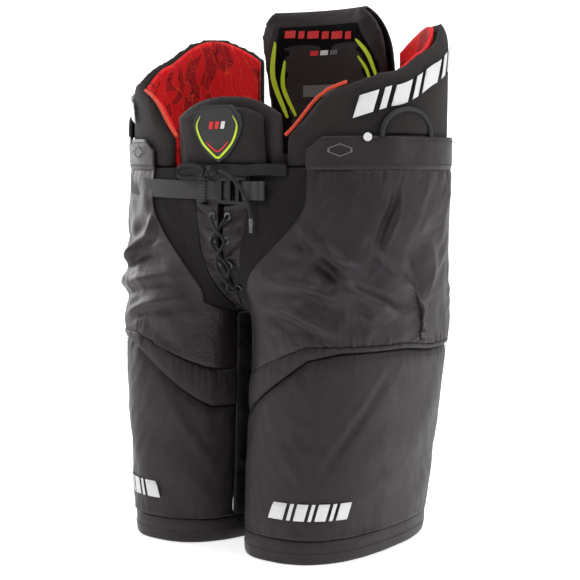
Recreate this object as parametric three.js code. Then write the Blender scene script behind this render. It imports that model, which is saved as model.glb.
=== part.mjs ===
import * as THREE from 'three';

// Ice hockey pants, millimetres. Front faces -Y, the wearer's left is +X, +Z is up.
// The pants stand on their hems, with the waist open at the top.

// Overall heights
const WAIST_Z = 416;
const SEAT_Z = 232;
const CROTCH_Z = 256;
const HEM_BAND = 26;

// Plan sizes, as halves
const WAIST_HALF_WIDTH = 195;
const WAIST_HALF_DEPTH = 116;
const WAIST_SQUARENESS = 2.5;
const SEAT_SQUARENESS = 4;
const LEG_SQUARENESS = 2.5;
const LEG_TOP_CENTRE = 92;
const LEG_TOP_HALF_WIDTH = 90;
const LEG_TOP_HALF_DEPTH = 127;
const HEM_CENTRE = 78;
const HEM_HALF_WIDTH = 75;
const HEM_HALF_DEPTH = 126;
const HEM_FORWARD = 10;
const VALLEY_DEPTH = 72;

// Layers
const GAP = 0.4;
const LAYER_GAP = 1.4;
const SEAM_GAP = 1;
const SHELL_THICK = 3;
const COVER_THICK = 5;
const GUARD_THICK = 12;
const HIP_PAD_THICK = 15;
const HIP_LINER_THICK = 4;
const FLAP_THICK = 3.4;
const HEM_THICK = 7;

// Hip pads
const HIP_PAD_FRONT_ANGLE = -72;
const HIP_PAD_BACK_ANGLE = 64;
const HIP_EDGE_RISE = 30;
const HIP_FRONT_RISE = 79;
const HIP_SHOULDER_RISE = 24;
const HIP_PEAK_RISE = 162;
const HIP_BACK_DROP = 29;
const FLAP_HEIGHT = 34;
const PIPING_RADIUS = 2;
const HIP_CAP_RISE = 26;

// Spine, tail and belly pads
const SPINE_HEIGHT = 186;
const SPINE_HALF_WIDTH = 91;
const SPINE_THICK = 17;
const SPINE_COVER_THICK = 4;
const SPINE_BACK_Y = 116;
const SPINE_LEAN = 30;
const TAIL_PAD_HEIGHT = 104;
const TAIL_PAD_HALF_WIDTH = 62;
const TAIL_PAD_THICK = 12;
const BELLY_HALF_WIDTH = 60;
const BELLY_HEIGHT = 70;
const BELLY_THICK = 12;
const BADGE_WIDTH = 58;
const BADGE_HEIGHT = 60;
const BADGE_THICK = 3;

// Fly, lacing and groin mesh
const FLY_TOP = WAIST_Z - 31;
const FLY_BOTTOM = CROTCH_Z + 9;
const FLY_TOP_WIDTH = 37;
const FLY_TIP_WIDTH = 11;
const FLY_SPLIT = 5;
const EYELET_RADIUS = 3.3;
const EYELET_WIRE = 1.1;
const LACE_RADIUS = 1.7;
const EYELET_ROWS = 4;
const MESH_TOP_WIDTH = 62;

// Belt
const BELT_WIDTH = 20;
const BELT_THICK = 1.3;
const BELT_Z = WAIST_Z - 23;
const BUCKLE_LENGTH = 42;
const BUCKLE_HEIGHT = 29;
const BUCKLE_THICK = 3;
const BUCKLE_BAR = 3;
const BUCKLE_X = 36;
const BUCKLE_OFF = 4.6;
const TAPE_WIDTH = 12;

// Leg joints: the legs hinge about this height
const INNER_TOP = 240;
const INNER_DROP = 25;
const FRONT_SEAM_LOW = 193;
const BAND_LOW = 152;
const REAR_SEAM = 226;

const FINISH = {
  nylon: { color: 0x322e31, roughness: 0.62, metalness: 0 },
  gloss: { color: 0x232124, roughness: 0.35, metalness: 0 },
  knit: { color: 0x363331, roughness: 0.85, metalness: 0 },
  red: { color: 0xc91820, roughness: 0.7, metalness: 0 },
  foam: { color: 0x2a2a2a, roughness: 0.9, metalness: 0 },
  plastic: { color: 0x1d1d1f, roughness: 0.4, metalness: 0 },
  piping: { color: 0xe0503c, roughness: 0.6, metalness: 0 },
  mesh: { color: 0x2c2c2e, roughness: 0.8, metalness: 0 },
  webbing: { color: 0x4a4846, roughness: 0.75, metalness: 0 },
  rubber: { color: 0x4c4c4e, roughness: 0.55, metalness: 0 },
  white: { color: 0xe8e8e6, roughness: 0.4, metalness: 0 },
  lace: { color: 0x1a1a1a, roughness: 0.8, metalness: 0 },
  metal: { color: 0x8a8a88, roughness: 0.35, metalness: 0.9 },
};

const LEFT = 1;
const RIGHT = -1;
const SIDES = [['right', RIGHT], ['left', LEFT]];

const radians = THREE.MathUtils.degToRad;
const mix = THREE.MathUtils.lerp;
const ramp = (value, low, high) => THREE.MathUtils.smoothstep(value, low, high);
const share = (value, low, high) => THREE.MathUtils.clamp((value - low) / (high - low), 0, 1);
const bow = (value, power) => Math.sign(value) * Math.abs(value) ** power;

// The six-sided volume of a closed geometry, negative where it is inside out.
function signedVolume(geometry) {
  const flat = geometry.index ? geometry.toNonIndexed() : geometry;
  const at = flat.attributes.position;
  const [a, b, c] = [new THREE.Vector3(), new THREE.Vector3(), new THREE.Vector3()];
  let total = 0;
  for (let k = 0; k < at.count; k += 3) {
    a.fromBufferAttribute(at, k);
    b.fromBufferAttribute(at, k + 1);
    c.fromBufferAttribute(at, k + 2);
    total += a.dot(b.cross(c));
  }
  return total;
}

// Turns a geometry the right way out.
function facingOut(geometry) {
  const flat = geometry.index ? geometry.toNonIndexed() : geometry;
  if (signedVolume(flat) > 0) return flat;
  const at = flat.attributes.position;
  const [a, b] = [new THREE.Vector3(), new THREE.Vector3()];
  for (let k = 0; k < at.count; k += 3) {
    a.fromBufferAttribute(at, k + 1);
    b.fromBufferAttribute(at, k + 2);
    at.setXYZ(k + 1, b.x, b.y, b.z);
    at.setXYZ(k + 2, a.x, a.y, a.z);
  }
  return flat;
}

function piece(name, geometry, finish) {
  const ready = facingOut(geometry);
  ready.deleteAttribute('uv');
  ready.computeVertexNormals();
  const mesh = new THREE.Mesh(ready, new THREE.MeshStandardMaterial(FINISH[finish]));
  mesh.name = name;
  return mesh;
}

// A closed slab: place(u, v, w) gives the point for 0..1 along, up and through it.
function slab(along, up, place) {
  const geometry = new THREE.BoxGeometry(1, 1, 1, along, up, 1);
  const at = geometry.attributes.position;
  for (let k = 0; k < at.count; k += 1) {
    const point = place(at.getX(k) + 0.5, at.getY(k) + 0.5, at.getZ(k) + 0.5);
    at.setXYZ(k, point.x, point.y, point.z);
  }
  return geometry;
}

// A closed band: place(angle, v, w) gives the point for a turn, up and through it.
function band(around, up, place) {
  const profile = [];
  for (let k = 0; k <= up; k += 1) profile.push(new THREE.Vector2(2, k / up));
  for (let k = up; k >= 0; k -= 1) profile.push(new THREE.Vector2(1, k / up));
  profile.push(profile[0].clone());
  const geometry = new THREE.LatheGeometry(profile, around);
  const at = geometry.attributes.position;
  for (let k = 0; k < at.count; k += 1) {
    const reach = Math.hypot(at.getX(k), at.getZ(k));
    const turn = THREE.MathUtils.radToDeg(Math.atan2(at.getZ(k), at.getX(k)));
    const point = place(turn, at.getY(k), reach - 1);
    at.setXYZ(k, point.x, point.y, point.z);
  }
  return geometry;
}

// A round cord along a smooth curve.
function cord(points, radius, steps, closed = false) {
  const path = new THREE.CatmullRomCurve3(points, closed, 'centripetal');
  const ring = new THREE.Shape();
  ring.absarc(0, 0, radius, 0, Math.PI * 2);
  return new THREE.ExtrudeGeometry(ring, {
    steps, curveSegments: 4, bevelEnabled: false, extrudePath: path,
  });
}

// One leg's outline at a height, for the wearer's left leg.
function legSection(z) {
  const rise = THREE.MathUtils.clamp(z / SEAT_Z, 0, 1.1);
  return {
    centre: mix(HEM_CENTRE, LEG_TOP_CENTRE, rise),
    forward: mix(-HEM_FORWARD, 0, Math.min(rise, 1)),
    halfWidth: mix(HEM_HALF_WIDTH, LEG_TOP_HALF_WIDTH, rise),
    halfDepth: mix(HEM_HALF_DEPTH, LEG_TOP_HALF_DEPTH, rise),
  };
}

// A point on a leg: 0 is the outer side, -90 the front, 180 the inner side.
function onLeg(side, angle, z, out) {
  const form = legSection(Math.min(z, SEAT_Z));
  const at = (turn) => new THREE.Vector2(
    form.centre + form.halfWidth * bow(Math.cos(radians(turn)), 2 / LEG_SQUARENESS),
    form.forward + form.halfDepth * bow(Math.sin(radians(turn)), 2 / LEG_SQUARENESS),
  );
  const ahead = at(angle + 1);
  const behind = at(angle - 1);
  const along = ahead.sub(behind).normalize();
  const point = at(angle);
  return new THREE.Vector3(side * (point.x + along.y * out), point.y - along.x * out, z);
}

function hipForm(z) {
  const rise = share(z, SEAT_Z, WAIST_Z);
  return {
    halfWidth: mix(LEG_TOP_CENTRE + LEG_TOP_HALF_WIDTH, WAIST_HALF_WIDTH, rise),
    halfDepth: mix(LEG_TOP_HALF_DEPTH, WAIST_HALF_DEPTH, rise),
    squareness: mix(SEAT_SQUARENESS, WAIST_SQUARENESS, Math.sqrt(rise)),
    valley: 1 - ramp(z, CROTCH_Z - 16, CROTCH_Z + 84),
  };
}

// How far forward of the middle a leg's outline lies at a distance across.
function legDepthAt(across) {
  const reach = Math.abs(Math.abs(across) - LEG_TOP_CENTRE) / LEG_TOP_HALF_WIDTH;
  const depth = LEG_TOP_HALF_DEPTH * Math.max(1 - reach ** LEG_SQUARENESS, 0) ** (1 / LEG_SQUARENESS);
  return Math.abs(across) < LEG_TOP_CENTRE ? Math.max(depth, VALLEY_DEPTH) : depth;
}

// A point on the hips: 0 is the wearer's left side, -90 the front middle, 90 the back middle.
function onHips(side, angle, z, out) {
  const form = hipForm(z);
  const at = (turn) => {
    const across = form.halfWidth * bow(Math.cos(radians(turn)), 2 / form.squareness);
    const deep = form.halfDepth * bow(Math.sin(radians(turn)), 2 / form.squareness);
    const sunk = mix(Math.abs(deep), legDepthAt(across), form.valley);
    return new THREE.Vector2(across, Math.sign(deep) * sunk);
  };
  const along = at(angle + 1.5).sub(at(angle - 1.5)).normalize();
  const point = at(angle);
  return new THREE.Vector3(side * (point.x + along.y * out), point.y - along.x * out, z);
}

// The angle on the hips that lies this far across, on the front.
function angleAcross(across, z) {
  const form = hipForm(z);
  const part = THREE.MathUtils.clamp(across / form.halfWidth, -1, 1);
  return -THREE.MathUtils.radToDeg(Math.acos(bow(part, form.squareness / 2)));
}

// A point on the front of the hips by its distance across.
function onFront(across, z, out) {
  const side = across < 0 ? RIGHT : LEFT;
  return onHips(side, angleAcross(Math.abs(across), z), z, out);
}

// The height of the seam that joins a leg to the hips.
function thighSeam(x, y) {
  const front = mix(FRONT_SEAM_LOW, SEAT_Z, share(Math.abs(x), 26, 118));
  return mix(front, REAR_SEAM, ramp(y, -40, 30));
}

// The seam under the yoke, which meets the thigh seam at the outer side.
function yokeSeam(x, y) {
  const top = thighSeam(x, y);
  const fall = mix(FRONT_SEAM_LOW - BAND_LOW, 7, share(Math.abs(x), 26, 150));
  return top - mix(fall, 7, ramp(y, -60, -10));
}

// Finds the height where a column of a leg or of the hips meets a seam.
function meet(seam, columnAt) {
  let z = SEAT_Z;
  for (let turn = 0; turn < 6; turn += 1) {
    const point = columnAt(z);
    z = seam(point.x, point.y);
  }
  return z;
}

function innerTop(y) {
  return INNER_TOP - INNER_DROP * (y / 80) ** 2;
}

// ---- Legs ----

function legPanel(side, from, to, low, high, outer, thick, along, up) {
  return slab(along, up, (u, v, w) => {
    const angle = mix(from, to, u);
    const column = (z) => onLeg(side, angle, z, 0);
    const z = mix(low(column), high(column), v);
    return onLeg(side, angle, z, outer - thick * (1 - w));
  });
}

function thighCover(side) {
  const high = (column) => meet(yokeSeam, column) - GAP / 2;
  return legPanel(side, -149, 48, () => HEM_BAND + GAP, high, 0, COVER_THICK, 16, 4);
}

function legYoke(side) {
  const low = (column) => meet(yokeSeam, column) + GAP;
  const high = (column) => meet(thighSeam, column) - GAP / 2;
  return legPanel(side, -149, 48, low, high, 0, COVER_THICK, 16, 1);
}

function thighGuard(side) {
  const high = (column) => meet(yokeSeam, column) - 8;
  const out = -COVER_THICK - LAYER_GAP;
  return legPanel(side, -132, 38, () => HEM_BAND + 12, high, out, GUARD_THICK, 12, 2);
}

function rearLegPanel(side) {
  const high = (column) => meet(thighSeam, column) - GAP / 2;
  return legPanel(side, 48.3, 130, () => HEM_BAND + GAP, high, 0, SHELL_THICK, 6, 3);
}

function innerLegPanel(side) {
  const high = (column) => innerTop(column(SEAT_Z).y);
  return legPanel(side, 130.4, 210.4, () => HEM_BAND + GAP, high, 0, SHELL_THICK, 8, 3);
}

function hemBinding(side) {
  return band(28, 1, (turn, v, w) => onLeg(side, turn, HEM_BAND * v, 0.8 - HEM_THICK * (1 - w)));
}

function crotchPanel(side) {
  const low = (column) => innerTop(column(SEAT_Z).y) + GAP;
  return legPanel(side, 130.4, 210.4, low, () => CROTCH_Z, 0, SHELL_THICK, 8, 1);
}

// ---- Hips ----

// How far across the front edge of the shell lies at a height.
function shellEdge(z) {
  const groin = mix(16, 38, share(z, CROTCH_Z + 2, CROTCH_Z + 19));
  const waist = FLY_TOP_WIDTH + MESH_TOP_WIDTH + 6;
  return mix(groin, waist, Math.sin(share(z, CROTCH_Z + 19, WAIST_Z - 30) * Math.PI / 2) ** 1.2);
}

// Rows of a hip panel: one at the crotch, one just above it, the rest up to the waist.
function hipRow(v, low, first, second) {
  if (v <= 0.125) return mix(low, first, v / 0.125);
  if (v <= 0.25) return mix(first, second, (v - 0.125) / 0.125);
  return mix(second, WAIST_Z, (v - 0.25) / 0.75);
}

function upperShell(side) {
  return slab(18, 8, (u, v, w) => {
    const angle = (z) => mix(angleAcross(shellEdge(z), z), 22, u);
    const low = meet(thighSeam, (z) => onHips(side, angle(z), z, 0)) + SEAM_GAP;
    const z = hipRow(v, low, CROTCH_Z + 2, CROTCH_Z + 19);
    return onHips(side, angle(z), z, -SHELL_THICK * (1 - w));
  });
}

function seatPanel(side) {
  return slab(12, 8, (u, v, w) => {
    const inner = (z) => -angleAcross(mix(34, 0.6, share(z, CROTCH_Z + 1, CROTCH_Z + 10)), z);
    const angle = (z) => mix(22.3, inner(z), u);
    const low = meet(thighSeam, (z) => onHips(side, angle(z), z, 0)) + SEAM_GAP;
    const z = hipRow(v, low, CROTCH_Z + 1, CROTCH_Z + 10);
    return onHips(side, angle(z), z, -SHELL_THICK * (1 - w));
  });
}

function flyEdge(z) {
  return mix(FLY_TIP_WIDTH, FLY_TOP_WIDTH, share(z, FLY_BOTTOM, FLY_TOP) ** 0.8);
}

function flyPanel(side) {
  return slab(4, 10, (u, v, w) => {
    const z = mix(FLY_BOTTOM, FLY_TOP, v);
    const split = mix(0.6, FLY_SPLIT, v);
    return onFront(side * mix(split, flyEdge(z), u), z, -SHELL_THICK * (1 - w));
  });
}

function meshPanel(side) {
  return slab(5, 6, (u, v, w) => {
    const z = mix(CROTCH_Z + 19, WAIST_Z, v);
    const from = flyEdge(Math.min(z, FLY_TOP)) + LAYER_GAP;
    return onFront(side * mix(from, shellEdge(z) - 2 * GAP, u), z, -SHELL_THICK * (1 - w));
  });
}

function waistFacing() {
  return slab(8, 1, (u, v, w) => {
    const z = mix(FLY_TOP + GAP, WAIST_Z, v);
    const reach = FLY_TOP_WIDTH - GAP;
    return onFront(mix(-reach, reach, u), z, -SHELL_THICK * (1 - w));
  });
}

function crotchTape() {
  return slab(6, 1, (u, v, w) => new THREE.Vector3(
    mix(-6, 6, v), mix(66, -66, u), CROTCH_Z + GAP + 2.4 * w,
  ));
}

function hipTop(angle) {
  const edge = mix(HIP_EDGE_RISE, HIP_FRONT_RISE, ramp(angle, HIP_PAD_FRONT_ANGLE - 3, -54));
  const shoulder = HIP_SHOULDER_RISE * share(angle, -56, -26) ** 0.8;
  const peak = (HIP_PEAK_RISE - HIP_FRONT_RISE - HIP_SHOULDER_RISE) * Math.sin(share(angle, -26, 36) * Math.PI / 2) ** 1.7;
  return WAIST_Z + edge + shoulder + peak - HIP_BACK_DROP * share(angle, 36, HIP_PAD_BACK_ANGLE) ** 2;
}

function hipPad(side) {
  return slab(18, 4, (u, v, w) => {
    const angle = mix(HIP_PAD_FRONT_ANGLE, HIP_PAD_BACK_ANGLE, u);
    const z = mix(WAIST_Z + GAP, hipTop(angle), v);
    return onHips(side, angle, z, -HIP_PAD_THICK * (1 - w));
  });
}

function hipLiner(side) {
  return slab(16, 2, (u, v, w) => {
    const angle = mix(HIP_PAD_FRONT_ANGLE + 4, HIP_PAD_BACK_ANGLE - 2, u);
    const z = mix(WAIST_Z - 28, hipTop(angle) - 5, v);
    const out = -HIP_PAD_THICK - 1.6 * LAYER_GAP - HIP_LINER_THICK * (1 - w);
    return onHips(side, angle, z, out);
  });
}

// A raised, domed arch on the outer side of a hip pad.
function hipCap(side) {
  return slab(6, 3, (u, v, w) => {
    const angle = mix(-30, -4, u);
    const crown = Math.sqrt(Math.max(1 - (2 * u - 1) ** 2, 0.12));
    const z = WAIST_Z + FLAP_HEIGHT + 3 + HIP_CAP_RISE * crown * v;
    return onHips(side, angle, z, GAP + 4 * w);
  });
}

function hipPiping(side) {
  const points = [];
  for (let k = 0; k <= 12; k += 1) {
    const angle = mix(HIP_PAD_FRONT_ANGLE + 1, -46, k / 12);
    const z = hipTop(angle) + PIPING_RADIUS + 0.5;
    points.push(onHips(side, angle - 1.2, z, -HIP_PAD_THICK / 2));
  }
  return cord(points, PIPING_RADIUS, 24);
}

function waistFlap(side) {
  return slab(16, 2, (u, v, w) => {
    const angle = mix(-63, 56, u);
    const corner = 1 - 0.35 * (1 - ramp(u, 0, 0.06)) * v;
    const z = WAIST_Z + 1 + (FLAP_HEIGHT - 1) * v * corner;
    return onHips(side, angle, z, GAP + FLAP_THICK * w);
  });
}

function suspenderButton(side) {
  const z = WAIST_Z + FLAP_HEIGHT - 3;
  const face = onHips(side, -38, z, GAP * 2 + FLAP_THICK);
  const away = onHips(side, -38, z, 40).sub(face).normalize();
  const profile = [[0, 0], [3.4, 0], [3.4, 2.2], [7.5, 2.2], [7.5, 4.2], [0, 4.8]];
  const button = new THREE.LatheGeometry(profile.map(([r, h]) => new THREE.Vector2(r, h)), 12);
  button.applyQuaternion(new THREE.Quaternion().setFromUnitVectors(new THREE.Vector3(0, 1, 0), away));
  return button.translate(face.x, face.y, face.z);
}

// ---- Belly, spine and tail pads ----

function bellyTop(across) {
  const reach = Math.abs(across) / BELLY_HALF_WIDTH;
  return WAIST_Z + BELLY_HEIGHT - 14 * reach ** 2.4;
}

function bellyPad() {
  return slab(12, 4, (u, v, w) => {
    const across = mix(-BELLY_HALF_WIDTH, BELLY_HALF_WIDTH, u);
    const z = mix(WAIST_Z + GAP, bellyTop(across), v);
    return onFront(across, z, 4 + 4 * v - BELLY_THICK * (1 - w));
  });
}

function bellyBackPad() {
  return slab(8, 2, (u, v, w) => {
    const across = mix(-BELLY_HALF_WIDTH - 11, BELLY_HALF_WIDTH + 11, u);
    const z = mix(WAIST_Z - 12, bellyTop(across) + 8, v);
    return onFront(across, z, 2.6 + 4 * v - BELLY_THICK - 6 * (1 - w));
  });
}

function shieldBadge() {
  const half = BADGE_WIDTH / 2;
  const low = -BADGE_HEIGHT / 2;
  const outline = new THREE.Shape();
  outline.moveTo(-half * 0.72, -low);
  outline.lineTo(half * 0.72, -low);
  outline.lineTo(half, -low * 0.25);
  outline.quadraticCurveTo(half * 0.8, low * 0.45, 0, low);
  outline.quadraticCurveTo(-half * 0.8, low * 0.45, -half, -low * 0.25);
  const badge = new THREE.ExtrudeGeometry(outline, { depth: BADGE_THICK, bevelEnabled: false, curveSegments: 6 });
  badge.rotateX(Math.PI / 2);
  badge.rotateX(0.06);
  const face = onFront(0, WAIST_Z + BELLY_HEIGHT / 2, 0);
  return badge.translate(0, face.y - 6.8, WAIST_Z + 7.6 + BADGE_HEIGHT / 2);
}

function spineHalfWidth(share1) {
  const bulge = mix(0.84, 1, Math.sin(Math.min(share1 / 0.66, 1) * Math.PI / 2));
  const crown = Math.sqrt(Math.max(1 - share(share1, 0.72, 1.04) ** 2.2, 0));
  return SPINE_HALF_WIDTH * bulge * mix(0.42, 1, crown);
}

function onSpine(u, v, out) {
  const side = 2 * u - 1;
  const y = SPINE_BACK_Y - SPINE_LEAN * v ** 2.2 - 14 * side ** 2 + out;
  return new THREE.Vector3(-side * spineHalfWidth(v), y, WAIST_Z + 0.8 + SPINE_HEIGHT * v);
}

function spinePad() {
  return slab(10, 8, (u, v, w) => onSpine(u, v, -SPINE_COVER_THICK - LAYER_GAP - SPINE_THICK * (1 - w)));
}

function spineCover() {
  return slab(10, 8, (u, v, w) => onSpine(u, v, -SPINE_COVER_THICK * (1 - w)));
}

function tailPad() {
  return slab(8, 3, (u, v, w) => {
    const across = mix(TAIL_PAD_HALF_WIDTH, -TAIL_PAD_HALF_WIDTH, u) * mix(0.6, 1, v);
    const z = mix(WAIST_Z - 2 - TAIL_PAD_HEIGHT, WAIST_Z - 2, v);
    const face = onFront(across, z, -SHELL_THICK - 2.3 * LAYER_GAP - TAIL_PAD_THICK * (1 - w));
    return new THREE.Vector3(face.x, -face.y, face.z);
  });
}

// ---- Fly lacing ----

// The direction that the front faces at a point.
function frontNormal(across, z) {
  const right = onFront(across + 3, z, 0).sub(onFront(across - 3, z, 0));
  const up = onFront(across, z + 6, 0).sub(onFront(across, z - 6, 0));
  return right.cross(up).normalize();
}

function eyeletPlace(side, row) {
  const z = mix(FLY_BOTTOM + 22, FLY_TOP - 20, row / (EYELET_ROWS - 1));
  const across = side * mix(6.6, 10.5, row / (EYELET_ROWS - 1));
  return { across, z };
}

function eyelet(side, row) {
  const { across, z } = eyeletPlace(side, row);
  const ahead = frontNormal(across, z);
  const centre = onFront(across, z, 0).addScaledVector(ahead, 2 * GAP + EYELET_WIRE);
  const ring = new THREE.TorusGeometry(EYELET_RADIUS, EYELET_WIRE, 5, 12);
  ring.applyQuaternion(new THREE.Quaternion().setFromUnitVectors(new THREE.Vector3(0, 0, 1), ahead));
  return ring.translate(centre.x, centre.y, centre.z);
}

function flyLace() {
  const points = [];
  const out = GAP * 4 + 2 * EYELET_WIRE + LACE_RADIUS;
  const lift = (across, z) => onFront(across, z, 0).addScaledVector(frontNormal(across, z), out);
  for (let row = EYELET_ROWS - 1; row >= 0; row -= 1) {
    const side = row % 2 ? LEFT : RIGHT;
    const from = eyeletPlace(side, row);
    const to = eyeletPlace(-side, row);
    points.push(lift(from.across, from.z));
    points.push(lift(to.across, to.z - 3));
  }
  return cord(points, LACE_RADIUS, 36);
}

// ---- Belt, buckle and waist tape ----

function buckleFaceY() {
  return onFront(BUCKLE_X / 2, BELT_Z, BUCKLE_OFF).y;
}

function buckle() {
  const high = BUCKLE_HEIGHT / 2;
  const left = -BUCKLE_LENGTH;
  const frame = new THREE.Shape();
  frame.moveTo(BUCKLE_BAR / 2, -high);
  frame.lineTo(BUCKLE_BAR / 2, high);
  frame.lineTo(left + 10, high);
  frame.quadraticCurveTo(left, high, left, 0);
  frame.quadraticCurveTo(left, -high, left + 10, -high);
  const slot = (from, to, slotHigh) => {
    const hole = new THREE.Path();
    hole.moveTo(from, -slotHigh);
    hole.lineTo(from, slotHigh);
    hole.lineTo(to, slotHigh);
    hole.lineTo(to, -slotHigh);
    return hole;
  };
  const reach = BELT_WIDTH / 2;
  frame.holes.push(slot(-8.5, -BUCKLE_BAR / 2, reach + 1.4));
  frame.holes.push(slot(-20, -13, reach + 0.8));
  frame.holes.push(slot(-32, -25, reach + 0.2));
  const body = new THREE.ExtrudeGeometry(frame, { depth: BUCKLE_THICK, bevelEnabled: false, curveSegments: 5 });
  body.translate(0, 0, -BUCKLE_THICK / 2);
  body.rotateX(Math.PI / 2);
  return body.translate(BUCKLE_X, buckleFaceY(), BELT_Z);
}

// The stitched end of the belt, doubled round the buckle's bar.
function beltAnchor() {
  const inner = 2.5;
  const outer = inner + BELT_THICK;
  const end = 26;
  const loop = new THREE.Shape();
  loop.moveTo(end, outer);
  loop.lineTo(0, outer);
  loop.absarc(0, 0, outer, Math.PI / 2, Math.PI * 1.5, false);
  loop.lineTo(end, -outer);
  loop.lineTo(end, -inner);
  loop.lineTo(0, -inner);
  loop.absarc(0, 0, inner, Math.PI * 1.5, Math.PI / 2, true);
  loop.lineTo(end - BELT_THICK - 2, inner);
  loop.lineTo(end, inner);
  const strap = new THREE.ExtrudeGeometry(loop, { depth: BELT_WIDTH, bevelEnabled: false, curveSegments: 5 });
  strap.translate(0, 0, -BELT_WIDTH / 2);
  return strap.translate(BUCKLE_X, buckleFaceY(), BELT_Z);
}

function beltTail() {
  return slab(16, 1, (u, v, w) => {
    const end = -180 - angleAcross(14, BELT_Z);
    const angle = mix(-12, end, u);
    const lift = 10 * (1 - u) ** 1.6;
    const z = BELT_Z + lift + BELT_WIDTH * (v - 0.5);
    return onHips(RIGHT, angle, z, 0.7 + BELT_THICK * w);
  });
}

function beltKeeper() {
  const outer = BELT_THICK + 3.2;
  return slab(2, 1, (u, v, w) => {
    const across = mix(-30, -20, u);
    const z = BELT_Z + (BELT_WIDTH + 8) * (v - 0.5) + 1.4;
    return onFront(across, z, BELT_THICK + 1.1 + (outer - BELT_THICK - 1.1) * w);
  });
}

function waistTape() {
  return slab(14, 1, (u, v, w) => {
    const across = mix(-56, 82, u);
    const z = WAIST_Z - 1 + TAPE_WIDTH * (v - 0.5);
    return onFront(across, z, mix(4.9, 1.4, ramp(across, 62, 80)) + 1.4 * w);
  });
}

function bowKnot() {
  const knot = new THREE.SphereGeometry(1, 10, 8);
  knot.scale(9, 4, 7);
  const place = onFront(-6, WAIST_Z - 2, 10.9);
  return knot.translate(place.x, place.y, place.z);
}

function bowLoop() {
  const points = [];
  for (let k = 0; k < 10; k += 1) {
    const turn = radians(36 * k);
    const across = -38 + 19 * Math.cos(turn);
    points.push(onFront(across, WAIST_Z - 3 + 7 * Math.sin(turn), 9.2));
  }
  return cord(points, 2.2, 30, true);
}

function laceTail() {
  const points = [];
  for (let k = 0; k <= 6; k += 1) {
    const part = k / 6;
    const across = 3.8 + 42.2 * Math.sin(part * Math.PI / 2);
    const away = 8 + 9 * Math.sin(Math.PI * mix(0.1, 1, part));
    points.push(onFront(across, WAIST_Z - 2 - 50 * part ** 1.8, away));
  }
  return cord(points, 1.9, 20);
}

function aglet() {
  const tip = new THREE.CylinderGeometry(2.4, 2, 15, 10);
  tip.rotateX(Math.PI / 2);
  const place = onFront(46, WAIST_Z - 52.6, 8);
  return tip.translate(place.x, place.y, place.z - 8);
}

function build() {
  const pants = new THREE.Group();
  pants.name = 'hockey_pants';
  const add = (name, geometry, finish) => pants.add(piece(name, geometry, finish));
  SIDES.forEach(([word, side]) => {
    add(`${word}_thigh_cover`, thighCover(side), 'nylon');
    add(`${word}_leg_yoke`, legYoke(side), 'nylon');
    add(`${word}_thigh_guard`, thighGuard(side), 'foam');
    add(`${word}_rear_leg_panel`, rearLegPanel(side), 'nylon');
    add(`${word}_inner_leg_panel`, innerLegPanel(side), 'gloss');
    add(`${word}_hem_binding`, hemBinding(side), 'nylon');
    add(`${word}_crotch_panel`, crotchPanel(side), 'gloss');
    add(`${word}_upper_shell`, upperShell(side), 'nylon');
    add(`${word}_seat_panel`, seatPanel(side), 'nylon');
    add(`${word}_fly_panel`, flyPanel(side), 'gloss');
    add(`${word}_mesh_panel`, meshPanel(side), 'mesh');
    add(`${word}_hip_pad`, hipPad(side), 'knit');
    add(`${word}_hip_liner`, hipLiner(side), 'red');
    add(`${word}_hip_cap`, hipCap(side), 'rubber');
    add(`${word}_hip_piping`, hipPiping(side), 'piping');
    add(`${word}_waist_flap`, waistFlap(side), 'nylon');
    add(`${word}_suspender_button`, suspenderButton(side), 'white');
    for (let row = 0; row < EYELET_ROWS; row += 1) {
      add(`${word}_eyelet_${row + 1}`, eyelet(side, row), 'metal');
    }
  });
  add('waist_facing', waistFacing(), 'nylon');
  add('crotch_tape', crotchTape(), 'nylon');
  add('belly_pad', bellyPad(), 'knit');
  add('belly_back_pad', bellyBackPad(), 'foam');
  add('shield_badge', shieldBadge(), 'rubber');
  add('spine_pad', spinePad(), 'foam');
  add('spine_cover', spineCover(), 'nylon');
  add('tail_pad', tailPad(), 'foam');
  add('fly_lace', flyLace(), 'lace');
  add('buckle', buckle(), 'plastic');
  add('belt_anchor', beltAnchor(), 'webbing');
  add('belt_tail', beltTail(), 'webbing');
  add('waist_tape', waistTape(), 'webbing');
  add('belt_keeper', beltKeeper(), 'webbing');
  add('bow_knot', bowKnot(), 'webbing');
  add('bow_loop', bowLoop(), 'webbing');
  add('lace_tail', laceTail(), 'lace');
  add('aglet', aglet(), 'metal');
  // The frame's origin is the middle of the base.
  const centre = new THREE.Box3().setFromObject(pants).getCenter(new THREE.Vector3());
  pants.children.forEach((mesh) => mesh.geometry.translate(-centre.x, -centre.y, 0));
  return pants;
}

export default build();
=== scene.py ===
"""Ice hockey pants: the cloth, pads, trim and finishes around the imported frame."""

from __future__ import annotations

import logging
import math
from dataclasses import dataclass
from enum import Enum
from functools import lru_cache
from typing import Callable, Sequence

import bmesh
import bpy
from mathutils import Matrix, Vector, noise


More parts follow.
